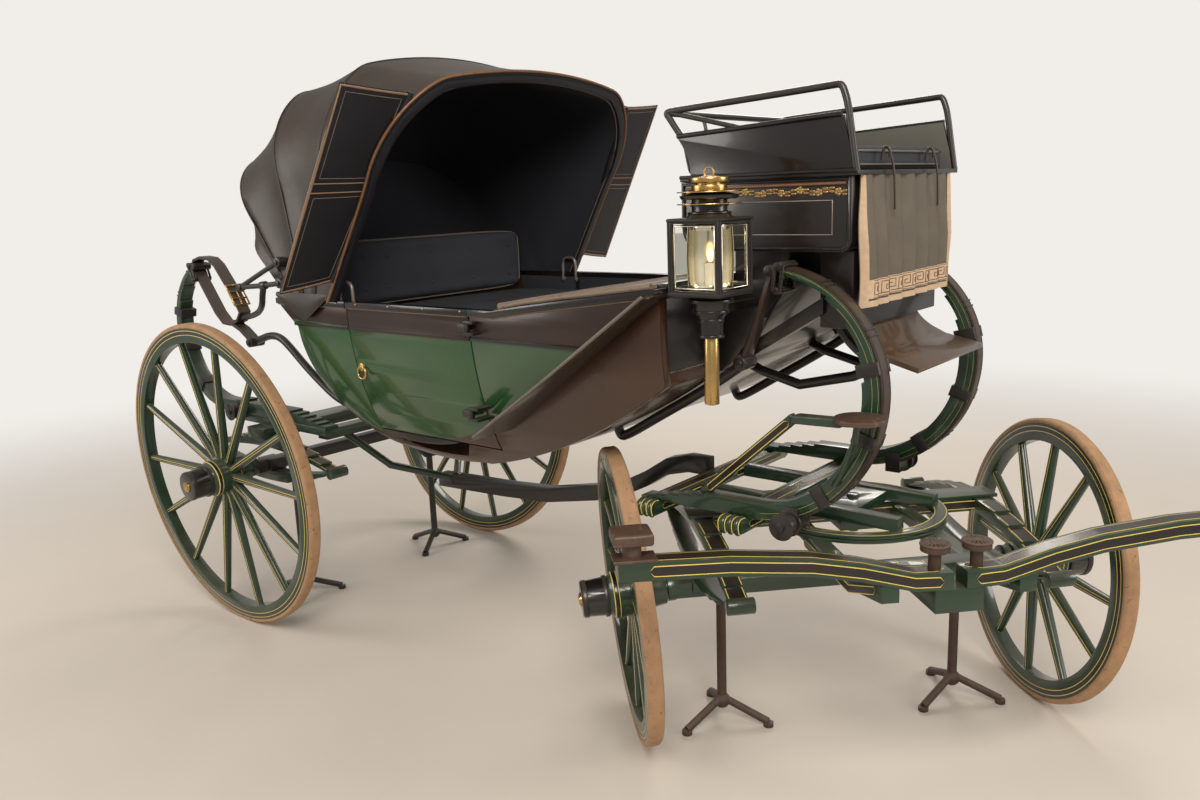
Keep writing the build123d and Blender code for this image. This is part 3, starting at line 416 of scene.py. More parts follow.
def ball(place, radius, squash=(1, 1, 1), sides=16):
    piece = added(bpy.ops.mesh.primitive_uv_sphere_add, segments=sides, ring_count=sides * 5 // 8,
                  radius=radius, location=place)
    piece.scale = squash
    fix_place(piece)
    return piece


def arc(first, middle, last, count):
    """Points on the circle through three flat points."""
    (ax, ay), (bx, by), (cx, cy) = first, middle, last
    d = 2 * (ax * (by - cy) + bx * (cy - ay) + cx * (ay - by))
    ox = ((ax * ax + ay * ay) * (by - cy) + (bx * bx + by * by) * (cy - ay)
          + (cx * cx + cy * cy) * (ay - by)) / d
    oy = ((ax * ax + ay * ay) * (cx - bx) + (bx * bx + by * by) * (ax - cx)
          + (cx * cx + cy * cy) * (bx - ax)) / d
    radius = math.hypot(ax - ox, ay - oy)
    start, end = [math.atan2(y - oy, x - ox) for x, y in (first, last)]
    turn_way = 1 if d > 0 else -1
    while (end - start) * turn_way < 0:
        end += turn_way * 2 * math.pi
    turns = [start + (end - start) * i / count for i in range(count + 1)]
    return [(ox + radius * math.cos(angle), oy + radius * math.sin(angle)) for angle in turns]


# Floor
floor = added(bpy.ops.mesh.primitive_plane_add, size=60)
floor.name = "floor"
floor_finish = finish("floor_finish", (0.66, 0.60, 0.53), 0.75, mottle=0.05, patch=1.2, bump=0.05)
ground = floor_finish.node_tree
to_camera = add_node(ground, "LightPath").outputs["Is Camera Ray"]
glow = math_node(ground, "MULTIPLY_ADD", to_camera, ROOM_BRIGHT - ROOM_DIM, ROOM_DIM)
far_glow = add_node(ground, "Emission", {"Color": ROOM_WHITE, "Strength": glow})
reach = add_node(ground, "VectorMath", {0: object_place(ground)}, operation="LENGTH").outputs["Value"]
FLOOR_NEAR, FLOOR_FAR = 2.4, 7.0
far_share = add_node(ground, "MapRange", {"From Min": FLOOR_NEAR, "From Max": FLOOR_FAR, "Value": reach},
                     interpolation_type="SMOOTHSTEP")
near = ground.nodes["Principled BSDF"].outputs[0]
blend = add_node(ground, "MixShader", {0: far_share.outputs["Result"], 1: near, 2: far_glow.outputs[0]})
ground.links.new(blend.outputs[0], ground.nodes["Material Output"].inputs["Surface"])
floor.data.materials.append(floor_finish)

# Wheels
SIDES = (("right", -1), ("left", 1))
RIM = {"rear": (0.615, 14), "front": (0.453, 12)}
TYRE_DEEP, RIM_DEEP = 0.016, 0.056
# metres: half stripe and its yellow edge, the face of the rim, the nave and the black bands along it
STRIPE_HALF, STRIPE_EDGE, FACE_OUT, NAVE_R = 0.0030, 0.0050, 0.0195, 0.078
RIM_BAND, NAVE_BAND, NAVE_LINES, NAVE_END = (0.026, 0.010), (0.034, 0.047), (0.033, 0.048, -0.052), 0.062


def wheel_finish(kind, side):
    """Coach green with black stripes edged in yellow, laid out round the hub."""
    radius, spokes = RIM[kind]
    joint = JOINTS["%s_wheel_%s_spin" % (kind, side)]
    out = Vector(joint["axis"]) * dict(SIDES)[side]
    material = finish("%s_wheel_paint_%s" % (kind, side), GREEN, 0.3, coat=0.5, mottle=0.35,
                      patch=14, dust=0.3)
    tree = material.node_tree
    along = Vector((math.cos(STEER), math.sin(STEER), 0)) if kind == "front" else AHEAD
    turned = Matrix((along, out.cross(along), out)).transposed().to_euler()
    hub = add_node(tree, "Mapping", {"Vector": object_place(tree)}, vector_type="TEXTURE")
    hub.inputs["Location"].default_value = joint["pos_m"]
    hub.inputs["Rotation"].default_value = turned
    x, y, z = add_node(tree, "SeparateXYZ", {0: hub.outputs[0]}).outputs

    def sums(operation, *values):
        return math_node(tree, operation, *values)

    def both(first, second):
        return math_node(tree, "MULTIPLY", first, second)

    def band(value, middle, half):
        return within(tree, value, middle - half, middle + half)
    r = sums("SQRT", sums("ADD", both(x, x), both(y, y)))
    pitch = 2 * math.pi / spokes
    angle = sums("WRAP", sums("ARCTAN2", y, x), pitch / 2, -pitch / 2)
    aside = sums("ABSOLUTE", both(r, sums("SINE", angle)))
    felloe_out = radius - TYRE_DEEP
    on_spoke = within(tree, r, NAVE_R + 0.001, felloe_out - RIM_DEEP - 0.001)
    on_face = sums("GREATER_THAN", sums("ABSOLUTE", z), FACE_OUT)
    on_nave = sums("LESS_THAN", r, NAVE_R)
    ring_in, ring_out = [felloe_out - depth for depth in RIM_BAND]
    layers = [(sums("LESS_THAN", aside, STRIPE_HALF), on_spoke, BLACK),
              (within(tree, aside, STRIPE_HALF, STRIPE_EDGE), on_spoke, YELLOW),
              (within(tree, r, ring_in, ring_out), on_face, BLACK)]
    layers += [(band(r, at, 0.0012), on_face, YELLOW) for at in (ring_in, ring_out)]
    layers.append((within(tree, z, *NAVE_BAND), on_nave, BLACK))
    layers += [(band(z, at, 0.0013), on_nave, YELLOW) for at in NAVE_LINES]
    layers.append((sums("GREATER_THAN", z, NAVE_END), on_nave, BLACK))
    for line, where, colour in layers:
        paint_over(material, both(line, where), colour)
    return material


for kind in RIM:
    for side, way in SIDES:
        joint = JOINTS["%s_wheel_%s_spin" % (kind, side)]
        centre, out = Vector(joint["pos_m"]), Vector(joint["axis"]) * way
        dress("%s_wheel_%s" % (kind, side), wheel_finish(kind, side), 0.002)
        dress("%s_tyre_%s" % (kind, side), tan_tyre, 0.002)
        for name, material, rows in (
                ("boss", brass, ((0.146, 0.021, 0.008), (0.150, 0.014, 0.006))),
                ("bands", forged_iron, ((0.134, 0.0575, 0.014), (0.070, 0.0635, 0.012)))):
            turned = [drum(centre + out * away, out, wide, deep) for away, wide, deep in rows]
            settle(turned, "%s_hub_%s_%s" % (kind, name, side), material, 35, joint["child"])

# Finishes on the CAD's own shapes
def from_maker(point):
    """A point of the scene back in the maker's millimetres."""
    return (point.x - AXLE_X) / MM, (point.y - MIDDLE_Y) / MM, point.z / MM


def touch_up(piece, material, chosen):
    """Another finish for the faces that chosen(x, y, z, normal) picks by their middle."""
    piece.data.materials.append(material)
    index = len(piece.data.materials) - 1
    for face in piece.data.polygons:
        if chosen(*from_maker(face.center), face.normal):
            face.material_index = index


PLAIN = (
    (green_coach_paint,
     "front_axle rear_elliptic_springs front_elliptic_springs rear_c_springs front_c_springs "
     "rear_bed lower_fore_bed upper_fore_bed splinter_bar coachman_step"),
    (forged_iron, "rear_axle spring_clips brace_windlasses rear_stands door_hinge_pins"),
    (black_coach_paint, "perch door_sills back_panel front_panel boot_box seat_base lanterns"),
    (rusty_iron, "roller_bolts front_stands"),
    (body_green, "side_rear_quarters side_front_quarters door_right door_left"),
    (belly_brown, "tub_floor side_under_wings"),
    (patent_hide, "belt_rails seat_sides footboard_irons"),
    (seat_cloth, "seat_box"),
    (hood_black, "hood_bows"), (wing_hide, "front_wings"), (foot_hide, "footboard"),
    (brace_hide, "front_braces"),
)
made = {node: dress(node, material) for material, names in PLAIN for node in names.split()}
made["lantern_glass"] = dress("lantern_glass", clear_pane, 0)

BODY_HALF, RAIL_TOP, BELT_Z, MOULD_Z = 620, 1330, 1310, 1234
HANDLE_X, HANDLE_Z, HANDLE_Y = 832, 1086, 589.5
HINGE_X, HINGE_Y = 1362, 623
DOOR_BELLY_X, DOOR_BELLY_Z, DOOR_BELLY_RISE = 1215, 888, 0.2996
FRONT_BELLY_X, FRONT_BELLY_Z, FRONT_BELLY_RISE = 1412, 905, 0.6656


def faces_in(x, y, z, n):
    """Whether a face is turned towards the middle of the body."""
    return n.y * y < -0.4 * abs(y)


for side in ("door_right", "door_left"):
    cut(made[side], spot(DOOR_BELLY_X, 0, DOOR_BELLY_Z), (-0.287, 0, 0.958))
    touch_up(made[side], belly_brown,
             lambda x, y, z, n: z < DOOR_BELLY_Z + DOOR_BELLY_RISE * (x - DOOR_BELLY_X))
    touch_up(made[side], belt_brown,
             lambda x, y, z, n: z > MOULD_Z + 9 or (abs(z - MOULD_Z - 5) < 7 and abs(n.z) < 0.9))
    touch_up(made[side], brass,
             lambda x, y, z, n: math.hypot(x - HANDLE_X, z - HANDLE_Z) < 40 and abs(y) > HANDLE_Y)
    touch_up(made[side], forged_iron, lambda x, y, z, n: x > HINGE_X and abs(y) > HINGE_Y)
    touch_up(made[side], seat_cloth, faces_in)
    touch_up(made[side], patent_hide, lambda x, y, z, n: z > BELT_Z + 1)
for side in ("side_rear_quarters", "side_front_quarters"):
    touch_up(made[side], belt_brown, lambda x, y, z, n: z > MOULD_Z + 9)
    touch_up(made[side], seat_cloth, faces_in)
cut(made["side_front_quarters"], spot(FRONT_BELLY_X, 0, FRONT_BELLY_Z), (-0.554, 0, 0.832))
touch_up(made["side_front_quarters"], belly_brown,
         lambda x, y, z, n: z < FRONT_BELLY_Z + FRONT_BELLY_RISE * (x - FRONT_BELLY_X))
touch_up(made["seat_sides"], panel_cloth, faces_in)
touch_up(made["perch"], green_coach_paint, lambda x, y, z, n: abs(y) > 45)
for spring, x0, x1 in (("front_c_springs", 2200, 2304), ("rear_c_springs", -470, -300)):
    touch_up(made[spring], forged_iron, lambda x, y, z, n: x0 < x < x1 and z > 1380)
touch_up(made["coachman_step"], cover_hide,
         lambda x, y, z, n: math.hypot(x - 2581, y + 445) < 66 and z > 1088)
WING_SHARE, WING_TIP = 0.6, 1488
WING_ARC = ((FRONT_BELLY_X, FRONT_BELLY_Z), (1735, 1120), (2137, 1400))
LAMP_X, LAMP_Y, LAMP_Z0, LAMP_Z1 = 2236, 575, 1400, 1590
wing_out = BODY_HALF + 180 * WING_SHARE
for point in made["front_wings"].data.vertices:
    x, y, z = from_maker(point.co)
    if abs(y) > BODY_HALF:
        point.co = spot(x, math.copysign(BODY_HALF + (abs(y) - BODY_HALF) * WING_SHARE, y), z)
cut(made["front_wings"], spot(WING_TIP, 0, 955), (0.86, 0, 0.51), clear_inner=True, use_fill=True)
touch_up(made["lanterns"], brass, lambda x, y, z, n: LAMP_Z1 + 62 < z or z < LAMP_Z0 - 107)
touch_up(made["lanterns"], candle_wax,
         lambda x, y, z, n: math.hypot(x - LAMP_X, abs(y) - LAMP_Y) < 15 and LAMP_Z0 + 9 < z < LAMP_Z0 + 80)

# The hood
HOOD = [
    (735, 1184, 2075, 648, 578), (650, 740, 2165, 636, 548), (575, 340, 2100, 630, 545),
    (505, 20, 1870, 624, 548), (460, 110, 1590, 620, 552), (427, 397, 1352, 617, 575),
]
AROUND = 72


def bow_outline(section, inset):
    """Points from the right foot over the crown to the left foot, evenly apart."""
    foot_x, crown_x, crown_z, half_foot, half_shoulder = section
    along = Vector((crown_x - foot_x, 0, crown_z - RAIL_TOP))
    whole = along.length
    inset = min(inset, whole * 0.55)
    low, high, length = half_foot - inset, half_shoulder - inset, whole - inset
    mid = (low + high) / 2 + 14
    shoulder, bend = (-high, length * 0.79), (-high * 0.76, length * 0.945)
    half = [(-low, 0), (-mid, length * 0.5)] + arc((-mid, length * 0.5), shoulder, bend, 12)[1:]
    half += arc(bend, (0, length), (-bend[0], bend[1]), 24)[1:13]
    line = half + [(-y, h) for y, h in half[-2::-1]]
    steps = [0]
    for (y0, h0), (y1, h1) in zip(line, line[1:]):
        steps.append(steps[-1] + math.hypot(y1 - y0, h1 - h0))
    points, at = [], 0
    for i in range(AROUND + 1):
        want = steps[-1] * i / AROUND
        while at < len(steps) - 2 and steps[at + 1] < want:
            at += 1
        part = (want - steps[at]) / (steps[at + 1] - steps[at])
        y = line[at][0] + (line[at + 1][0] - line[at][0]) * part
        h = line[at][1] + (line[at + 1][1] - line[at][1]) * part
        place = along / whole * h
        points.append(spot(foot_x + place.x, y, RAIL_TOP + place.z))
    return points


def hood_skin(insets, sags, steps, wrinkle):
    """One sheet over all the bows, sunk between them."""
    outlines = [bow_outline(section, inset) for section, inset in zip(HOOD, insets)]
    middles = [sum(points, Vector()) / len(points) for points in outlines]
    spans = len(outlines) - 1

    def place(u, v):
        around = min(AROUND, round(u * AROUND))
        run = min(v * spans, spans - 0.000001)
        span, part = int(run), run - int(run)
        point = outlines[span][around].lerp(outlines[span + 1][around], part)
        inward = (middles[span].lerp(middles[span + 1], part) - point).normalized()
        hang = math.sin(math.pi * part)
        fold = noise.noise(Vector((u * 9, v * 7, 3.1))) + 0.5 * noise.noise(Vector((u * 26, v * 10, 7.7)))
        return point + inward * MM * (sags[span] * hang + wrinkle * fold * hang ** 0.5)
    return sheet_of(AROUND, spans * steps, place)


def hide_thick(piece, thick, inward=True):
    outward(piece)
    apply_modifier(piece, "SOLIDIFY", thickness=thick, offset=-1 if inward else 1)
    return piece


hood_leather = hood_skin([0] * 6, (6, 15, 19, 16, 6), 8, 6)
hide_thick(hood_leather, 0.003)
settle(hood_leather, "hood_leather", hood_hide)
hood_cloth = hood_skin([37, 38, 38, 38, 36, 20], (0, 3, 4, 3, 0), 4, 3)
hide_thick(hood_cloth, 0.002)
settle(hood_cloth, "hood_lining", lining_cloth)

rim_out, rim_in = bow_outline(HOOD[0], -2), bow_outline(HOOD[0], 40)
rim_way = Vector((HOOD[0][2] - RAIL_TOP, 0, HOOD[0][0] - HOOD[0][1])).normalized()


def rim_place(u, v):
    around = min(AROUND, round(u * AROUND))
    return rim_out[around].lerp(rim_in[around], v) + rim_way * (0.001 + 0.005 * math.sin(math.pi * v))


rim = hide_thick(sheet_of(AROUND, 6, rim_place), 0.003, False)
settle(rim, "hood_rim_band", hood_black)
lead = [point + rim_way * 0.004 for point in rim_out[::2]]
settle(wire(lead, 0.0052), "hood_rim_bead", copper_bead)
lead = [point + rim_way * 0.003 for point in bow_outline(HOOD[0], 37)[::2]]
settle(wire(lead, 0.0024), "hood_rim_line", piping_grey)
for count, section in enumerate(HOOD[1:4]):
    settle(wire(bow_outline(section, -1)[::2], 0.0028), "hood_seam_%d" % (count + 1),
           hood_hide)

# skirts below the hood, outside the belt
SKIRT = [(420, 1345), (470, 1300), (576, 1249), (681, 1318), (720, 1345)]
SKIRT_BACK, SKIRT_FRONT, SKIRT_TOP = 420, 720, 1352


def skirt_low(x):
    for (x0, z0), (x1, z1) in zip(SKIRT, SKIRT[1:]):
        if x <= x1:
            return z0 + (z1 - z0) * (x - x0) / (x1 - x0)
    return SKIRT[-1][1]


skirts = []
for way in (-1, 1):
    def skirt_place(u, v):
        x = SKIRT_BACK + (SKIRT_FRONT - SKIRT_BACK) * u
        near = [min(SKIRT_FRONT, max(SKIRT_BACK, x + step)) for step in (-24, -12, 0, 12, 24)]
        low = sum(skirt_low(place) for place in near) / len(near)
        wave = 4 * math.sin(math.pi * v) + 2.5 * math.sin(9 * u + 2) * (1 - v)
        return spot(x, way * (BODY_HALF + 14 + wave), low + (SKIRT_TOP - low) * v)
    skirts.append(hide_thick(sheet_of(30, 10, skirt_place), 0.003, False))
settle(skirts, "hood_skirts", hood_hide)
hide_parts("hood_shell")

# flaps of the opening
FLAP = [Vector(corner)
        for corner in ((775, -652, 1400), (755, -842, 1375), (1100, -792, 2005), (1125, -547, 1985))]
flap_back = (FLAP[1] - FLAP[0]).cross(FLAP[3] - FLAP[0]).normalized()


def flap_point(u, v, lift, way):
    point = FLAP[0].lerp(FLAP[1], u).lerp(FLAP[3].lerp(FLAP[2], u), v) + flap_back * lift
    return spot(point.x, way * -point.y, point.z)


FLAP_SEAMS = (0.50, 0.545)


def flap_sag(u, v):
    """How far back the leather of a flap lies from the plane of its corners."""
    return 2.5 - 4 * math.sin(math.pi * u) * min(1, 8 * abs(v - 0.52))


FLAP_EDGE = ((0.02, 0.01), (0.25, 0.01), (0.5, 0.01), (0.75, 0.01), (0.98, 0.01), (0.98, 0.25), (0.98, 0.5),
             (0.98, 0.75), (0.98, 0.99), (0.75, 0.99), (0.5, 0.99), (0.25, 0.99), (0.02, 0.99))
for side, way in SIDES:
    panel = sheet_of(14, 40, lambda u, v: flap_point(u, v, flap_sag(u, v), -way))
    thicken(panel, 0.006)
    settle(panel, "hood_flap_" + side, hood_black, 50)
    frame_bars = [rod([flap_point(u, v, flap_sag(u, v), -way) for u, v in FLAP_EDGE], 0.0052)]
    for v in FLAP_SEAMS:
        for face in (-3.4, 3.4):
            seam = [flap_point(i / 12, v, flap_sag(i / 12, v) + face, -way) for i in range(13)]
            frame_bars.append(rod(seam, 0.0020))
    settle(frame_bars, "hood_flap_piping_" + side, piping_brown)
    stitching = []
    for low, high in ((0.035, 0.475), (0.570, 0.965)):
        for face in (-3.3, 3.3):
            corners = ((0.1, low), (0.9, low), (0.9, high), (0.1, high), (0.1, low))
            ring = [(u0 + (u1 - u0) * i / 8, v0 + (v1 - v0) * i / 8)
                    for (u0, v0), (u1, v1) in zip(corners, corners[1:]) for i in range(8)]
            line = [flap_point(u, v, flap_sag(u, v) + face, -way) for u, v in ring]
            stitching.append(rod(line, 0.0013, True))
    settle(stitching, "hood_flap_stitching_" + side, piping_grey)
    hinge = wire([flap_point(0, v, 2, -way) for v in (0, 0.25, 0.5, 0.75, 1)], 0.011)
    settle(hinge, "hood_flap_hinge_" + side, hood_black)
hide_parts("hood_wings")

# grab loops on the belt rail beside the opening
for side, way in SIDES:
    loop = side_run(way * (BODY_HALF - 36), (
        (722, 1296), (722, 1360), (726, 1382), (742, 1392), (774, 1392), (790, 1382),
        (794, 1360), (794, 1296)))
    grips = [drum(spot(x, way * (BODY_HALF - 30), 1300), LEFT, 0.011, 0.012, 16) for x in (722, 794)]
    grips.append(wire(loop, 0.0065))
    settle(grips, "belt_loop_" + side, silvered_iron_and_highlight)

# Belt, door and wing trim
BEAD_R, STUD_R, STUD_Z = 0.0028, 0.004, 1324
for side, way in SIDES:
    top = [spot(x, way * (BODY_HALF + 1), BELT_Z - 2) for x in (400, 790)]
    front = side_run(way * (BODY_HALF + 1),
                     ((1408, BELT_Z - 2), (1500, BELT_Z - 2), (1620, 1328), (2110, 1392)))
    beads = [rod(top, BEAD_R), rod(front, BEAD_R)]
    settle(beads, "belt_bead_" + side, piping_brown)
    body = "door_%s_leaf" % side
    door_top = [spot(x, way * (BODY_HALF + 1), BELT_Z - 2) for x in (806, 1100, 1392)]
    settle(rod(door_top, BEAD_R), "door_bead_" + side, piping_brown, body=body)
    for name, places, rides in (("belt", range(450, 780, 150), "root"),
                                ("door", range(860, 1390, 170), body)):
        studs = [ball(spot(x, way * (BODY_HALF + 8), STUD_Z), STUD_R) for x in places]
        settle(studs, "%s_studs_%s" % (name, side), brass, body=rides)
    lead = [(x, z) for x, z in arc(*WING_ARC, 24) if x > WING_TIP - 2]
    edge = [spot(x - 3, way * wing_out, z + 5) for x, z in lead]
    settle(wire(edge, 0.0045), "wing_bead_" + side, piping_grey)
    rib = [wire([spot(x - 4, way * y, z + 9.5) for x, z in lead], 0.0035) for y in (636, 664, 697)]
    settle(rib, "wing_ribs_" + side, patent_hide)

# Painted lines
def run_of(points, most):
    """Points along straight runs, close together for a rounded tip."""
    line = []
    for first, second in zip(points, points[1:]):
        count = max(1, int((second - first).length / MM / most))
        line += [first.lerp(second, i / count) for i in range(count)]
    return line + [points[-1]]


def lined_strip(points, across, out, width, edge=2.4, most=10):
    """A black strip with round ends, edged in yellow, along straight runs on a surface; in millimetres."""
    line = run_of(points, most)
    count = len(line) - 1
    run = [0]
    for first, second in zip(line, line[1:]):
        run.append(run[-1] + (second - first).length / MM)
    strips = []
    for half, lift, shy in ((width / 2, 0.35, 0), (width / 2 - edge, 0.7, edge)):
        def place(u, v):
            at = min(count, round(v * count))
            ends = min(run[at], run[-1] - run[at])
            reach = half
            if ends < half + shy:
                short = max(0, ends - shy) / half
                reach = half * math.sqrt(max(0.0, 1 - (1 - short) ** 2))
            return line[at] + across.normalized() * reach * MM * (2 * u - 1) + out.normalized() * lift * MM
        strips.append(thicken(sheet_of(2, count, place), 0.5 * MM))
    return strips


def add_lining(name, body, strips):
    for index, (shade, material) in enumerate((("yellow", lining_yellow), ("black", black_coach_paint))):
        settle([pair[index] for pair in strips], "%s_%s" % (name, shade), material, body=body)


# heights of the springs' eyes above the floor
CAMBER = math.radians(3.9)
DROP = 16 * math.sin(CAMBER)
REAR_RISE, FRONT_RISE = 58, 70
REAR_EYE = 615 * math.cos(CAMBER) + DROP - 24 - 8 + REAR_RISE
FRONT_EYE = 453 * math.cos(CAMBER) + DROP + 24 + 32 + FRONT_RISE + 6
FORE_X = Vector((math.cos(STEER), math.sin(STEER), 0))
FORE_Y = Vector((-math.sin(STEER), math.cos(STEER), 0))
BAR_S = 650
BAR_LINE = [(40, 743), (110, 746), (234, 780), (357, 804), (548, 822), (735, 827)]
strips = []
for way in (-1, 1):
    for s, rise, across, out, width in ((0, 22, FORE_X, UP, 40), (30, 0, UP, FORE_X, 26),
                                        (-30, 0, UP, -FORE_X, 26)):
        line = [fore(BAR_S + s, way * t, z + rise) for t, z in BAR_LINE]
        strips.append(lined_strip(line, across, out, width))
add_lining("splinter_bar_lining", "forecarriage", strips)

# the C-springs: widest x, middle z, radii above and below, from the middle, tip angle, way
C_SPRINGS = {"rear": (-645, 1150, 280, 345, 440, 74, -1), "front": (2597, 1130, 320, 380, 340, 88, 1)}
LEAF_W, C_THICK = 58, 48


def c_arc(kind, inner, first, last, step=3):
    """Points in x and z with their outward way, along a C-spring; the angle goes up from its widest point."""
    wide_x, z, above, below, _, _, way = C_SPRINGS[kind]
    found = []
    for angle in range(first, last + 1, step):
        radius = above if angle >= 0 else below
        turned = math.radians(angle if way > 0 else 180 - angle)
        ray = Vector((math.cos(turned), 0, math.sin(turned)))
        cx = wide_x - way * radius
        found.append((cx + (radius - inner) * ray.x, z + (radius - inner) * ray.z, ray))
    return found


# thin light lines along the leaf edges on both faces of each C-spring: painted highlight on the laminations
strips = []
for kind in C_SPRINGS:
    for way in (-1, 1):
        for face in (-1, 1):
            y = way * C_SPRINGS[kind][4] + face * (LEAF_W / 2 + 0.3)
            for inner, low, high in ((4, -84, 70 if kind == "rear" else 84), (20, -84, 50)):
                run = c_arc(kind, inner, low, high)
                line, rays = [spot(x, y, z) for x, z, ray in run], [ray for x, z, ray in run]
                strips.append(ribbon(line, rays, 0.0010, 0.0005))
settle(strips, "c_spring_lines", leaf_edge_highlight)

# leather braces along the backs of the C-springs
for kind in C_SPRINGS:
    braces = []
    for way in (-1, 1):
        y_mid = way * C_SPRINGS[kind][4]
        tip = C_SPRINGS[kind][5]
        run = c_arc(kind, -3.2, -66, tip, 2)

        def brace_place(u, v):
            x, z, ray = run[min(len(run) - 1, round(v * (len(run) - 1)))]
            crown = 0.8 * (1 - (2 * u - 1) ** 2)
            return spot(x + ray.x * crown, y_mid + (u - 0.5) * 50, z + ray.z * crown)
        braces.append(thicken(sheet_of(4, len(run) - 1, brace_place), 0.0055))
        for edge in (-20, 20):
            line = [spot(x + ray.x * 4, y_mid + edge, z + ray.z * 4) for x, z, ray in run]
            braces.append(ribbon(line, LEFT, 0.0012, 0.0008))
    settle(braces, kind + "_brace_backs", brace_hide, 50)
    keepers = []
    for way in (-1, 1):
        y = way * C_SPRINGS[kind][4]
        for angle in (-40, 30, 60):
            x, z, ray = c_arc(kind, -6.4, angle, angle, 1)[0]
            for shift in (-9, 9):
                line = [spot(x - ray.z * shift, y + t, z + ray.x * shift) for t in (-27, 0, 27)]
                keepers.append(rod(line, 0.0028))
    settle(keepers, kind + "_brace_keepers", forged_iron)

# rear braces: a loop of leather over the spring's tip, its link to the body iron and a buckle frame
LOOP = [(-470, 1405), (-455, 1440), (-400, 1453), (-335, 1447), (-290, 1420), (-240, 1365),
        (-197, 1318), (-160, 1270), (-134, 1232), (-162, 1196), (-215, 1178), (-270, 1182),
        (-320, 1222), (-370, 1285), (-420, 1348), (-470, 1405)]
LINK = [(-225, 1188), (-150, 1160), (-98, 1128), (-76, 1112)]
BUCKLE = ((-200, 1340, -34), (-200, 1340, 34), (-146, 1262, 34), (-146, 1262, -34))
plies, frames = [], []
for way in (-1, 1):
    y = way * C_SPRINGS["rear"][4]
    for run, most, wide, thick in ((LOOP, 60, 0.050, 0.011), (LINK, 16, 0.046, 0.014)):
        plies.append(ribbon(run_of(side_run(y, run), most), LEFT, wide, thick))
    frames.append(rod([spot(x, y + b, z) for x, z, b in BUCKLE], 0.0046, True))
    for x, z in ((-182, 1314), (-164, 1288)):
        frames.append(rod([spot(x, y - 34, z), spot(x, y + 34, z)], 0.0038))
    frames.append(rod([spot(-182, y, 1314), spot(-150, y, 1264)], 0.0034))
brace_set = settle(plies, "rear_brace_loops", brace_hide, 50)
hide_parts("rear_braces")
settle(frames, "rear_brace_buckles", brass)

# irons of the body, bent round
REAR_IRON = [(-76, 1112), (-30, 1126), (40, 1146), (110, 1142), (180, 1098), (250, 1046), (340, 988),
             (440, 932), (530, 908), (612, 906)]
FRONT_IRON = [(2192, 1188), (2150, 1158), (2098, 1123), (2000, 1063), (1903, 1007), (1820, 957), (1768, 928),
              (1746, 924), (1738, 952)]
irons = []
for way in (-1, 1):
    for route, y in ((REAR_IRON, way * C_SPRINGS["rear"][4]), (FRONT_IRON, way * C_SPRINGS["front"][4])):
        irons.append(wire(side_run(y, route), 0.0150, sides=5))
        x, z = route[0]
        irons.append(drum(spot(x, y, z), LEFT, 0.020, 0.064, 28, 0.002))
        for b in (-1, 1):
            irons.append(drum(spot(x, y + b * 34, z), LEFT, 0.012, 0.008, 20))
iron_set = settle(irons, "body_iron_bends", forged_iron, 50)
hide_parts("body_irons")

# folding joints of the hood with their pivots
joints = []
for way in (-1, 1):
    y = way * (BODY_HALF + 20)
    for line, radius in ((((447, 1459), (320, 1412), (192, 1364)), 0.0090),
                         (((447, 1384), (330, 1372), (192, 1363)), 0.0095)):
        joints.append(rod(side_run(y, line), radius, sides=4))
    joints.append(drum(spot(192, y, 1363), LEFT, 0.014, 0.026, 24))
    joints.append(drum(spot(345, y, 1374), (1, 0, 0.1), 0.0150, 0.034, 24, 0.003))
    for z in (1459, 1385):
        joints.append(drum(spot(447, way * (BODY_HALF + 8), z), LEFT, 0.019, 0.036, 28, 0.003))
        joints.append(drum(spot(447, way * (BODY_HALF + 28), z), LEFT, 0.010, 0.008, 20))
    hook = ((345, 640, 1372), (318, 632, 1338), (276, 610, 1296), (190, 572, 1262), (60, 520, 1236),
            (-70, 468, 1218), (-150, 442, 1204))
    joints.append(wire([spot(x, way * b, z) for x, b, z in hook], 0.0115, sides=4))
joint_set = settle(joints, "hood_joint_bars", forged_iron, 50)
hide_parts("hood_joint_irons")

# stops behind the gaps at both ends of each door, on the inner face of the fixed side
stops = []
for way in (-1, 1):
    for x in (800, 1399):
        line = [spot(x, way * (BODY_HALF - 32.5 - 100 * (max(0, BELT_Z - z) / 420) ** 2), z)
                for z in range(880, 1326, 15)]
        stops.append(ribbon(line, AHEAD, 0.020, 0.003))
settle(stops, "door_stops", hood_black, 50)

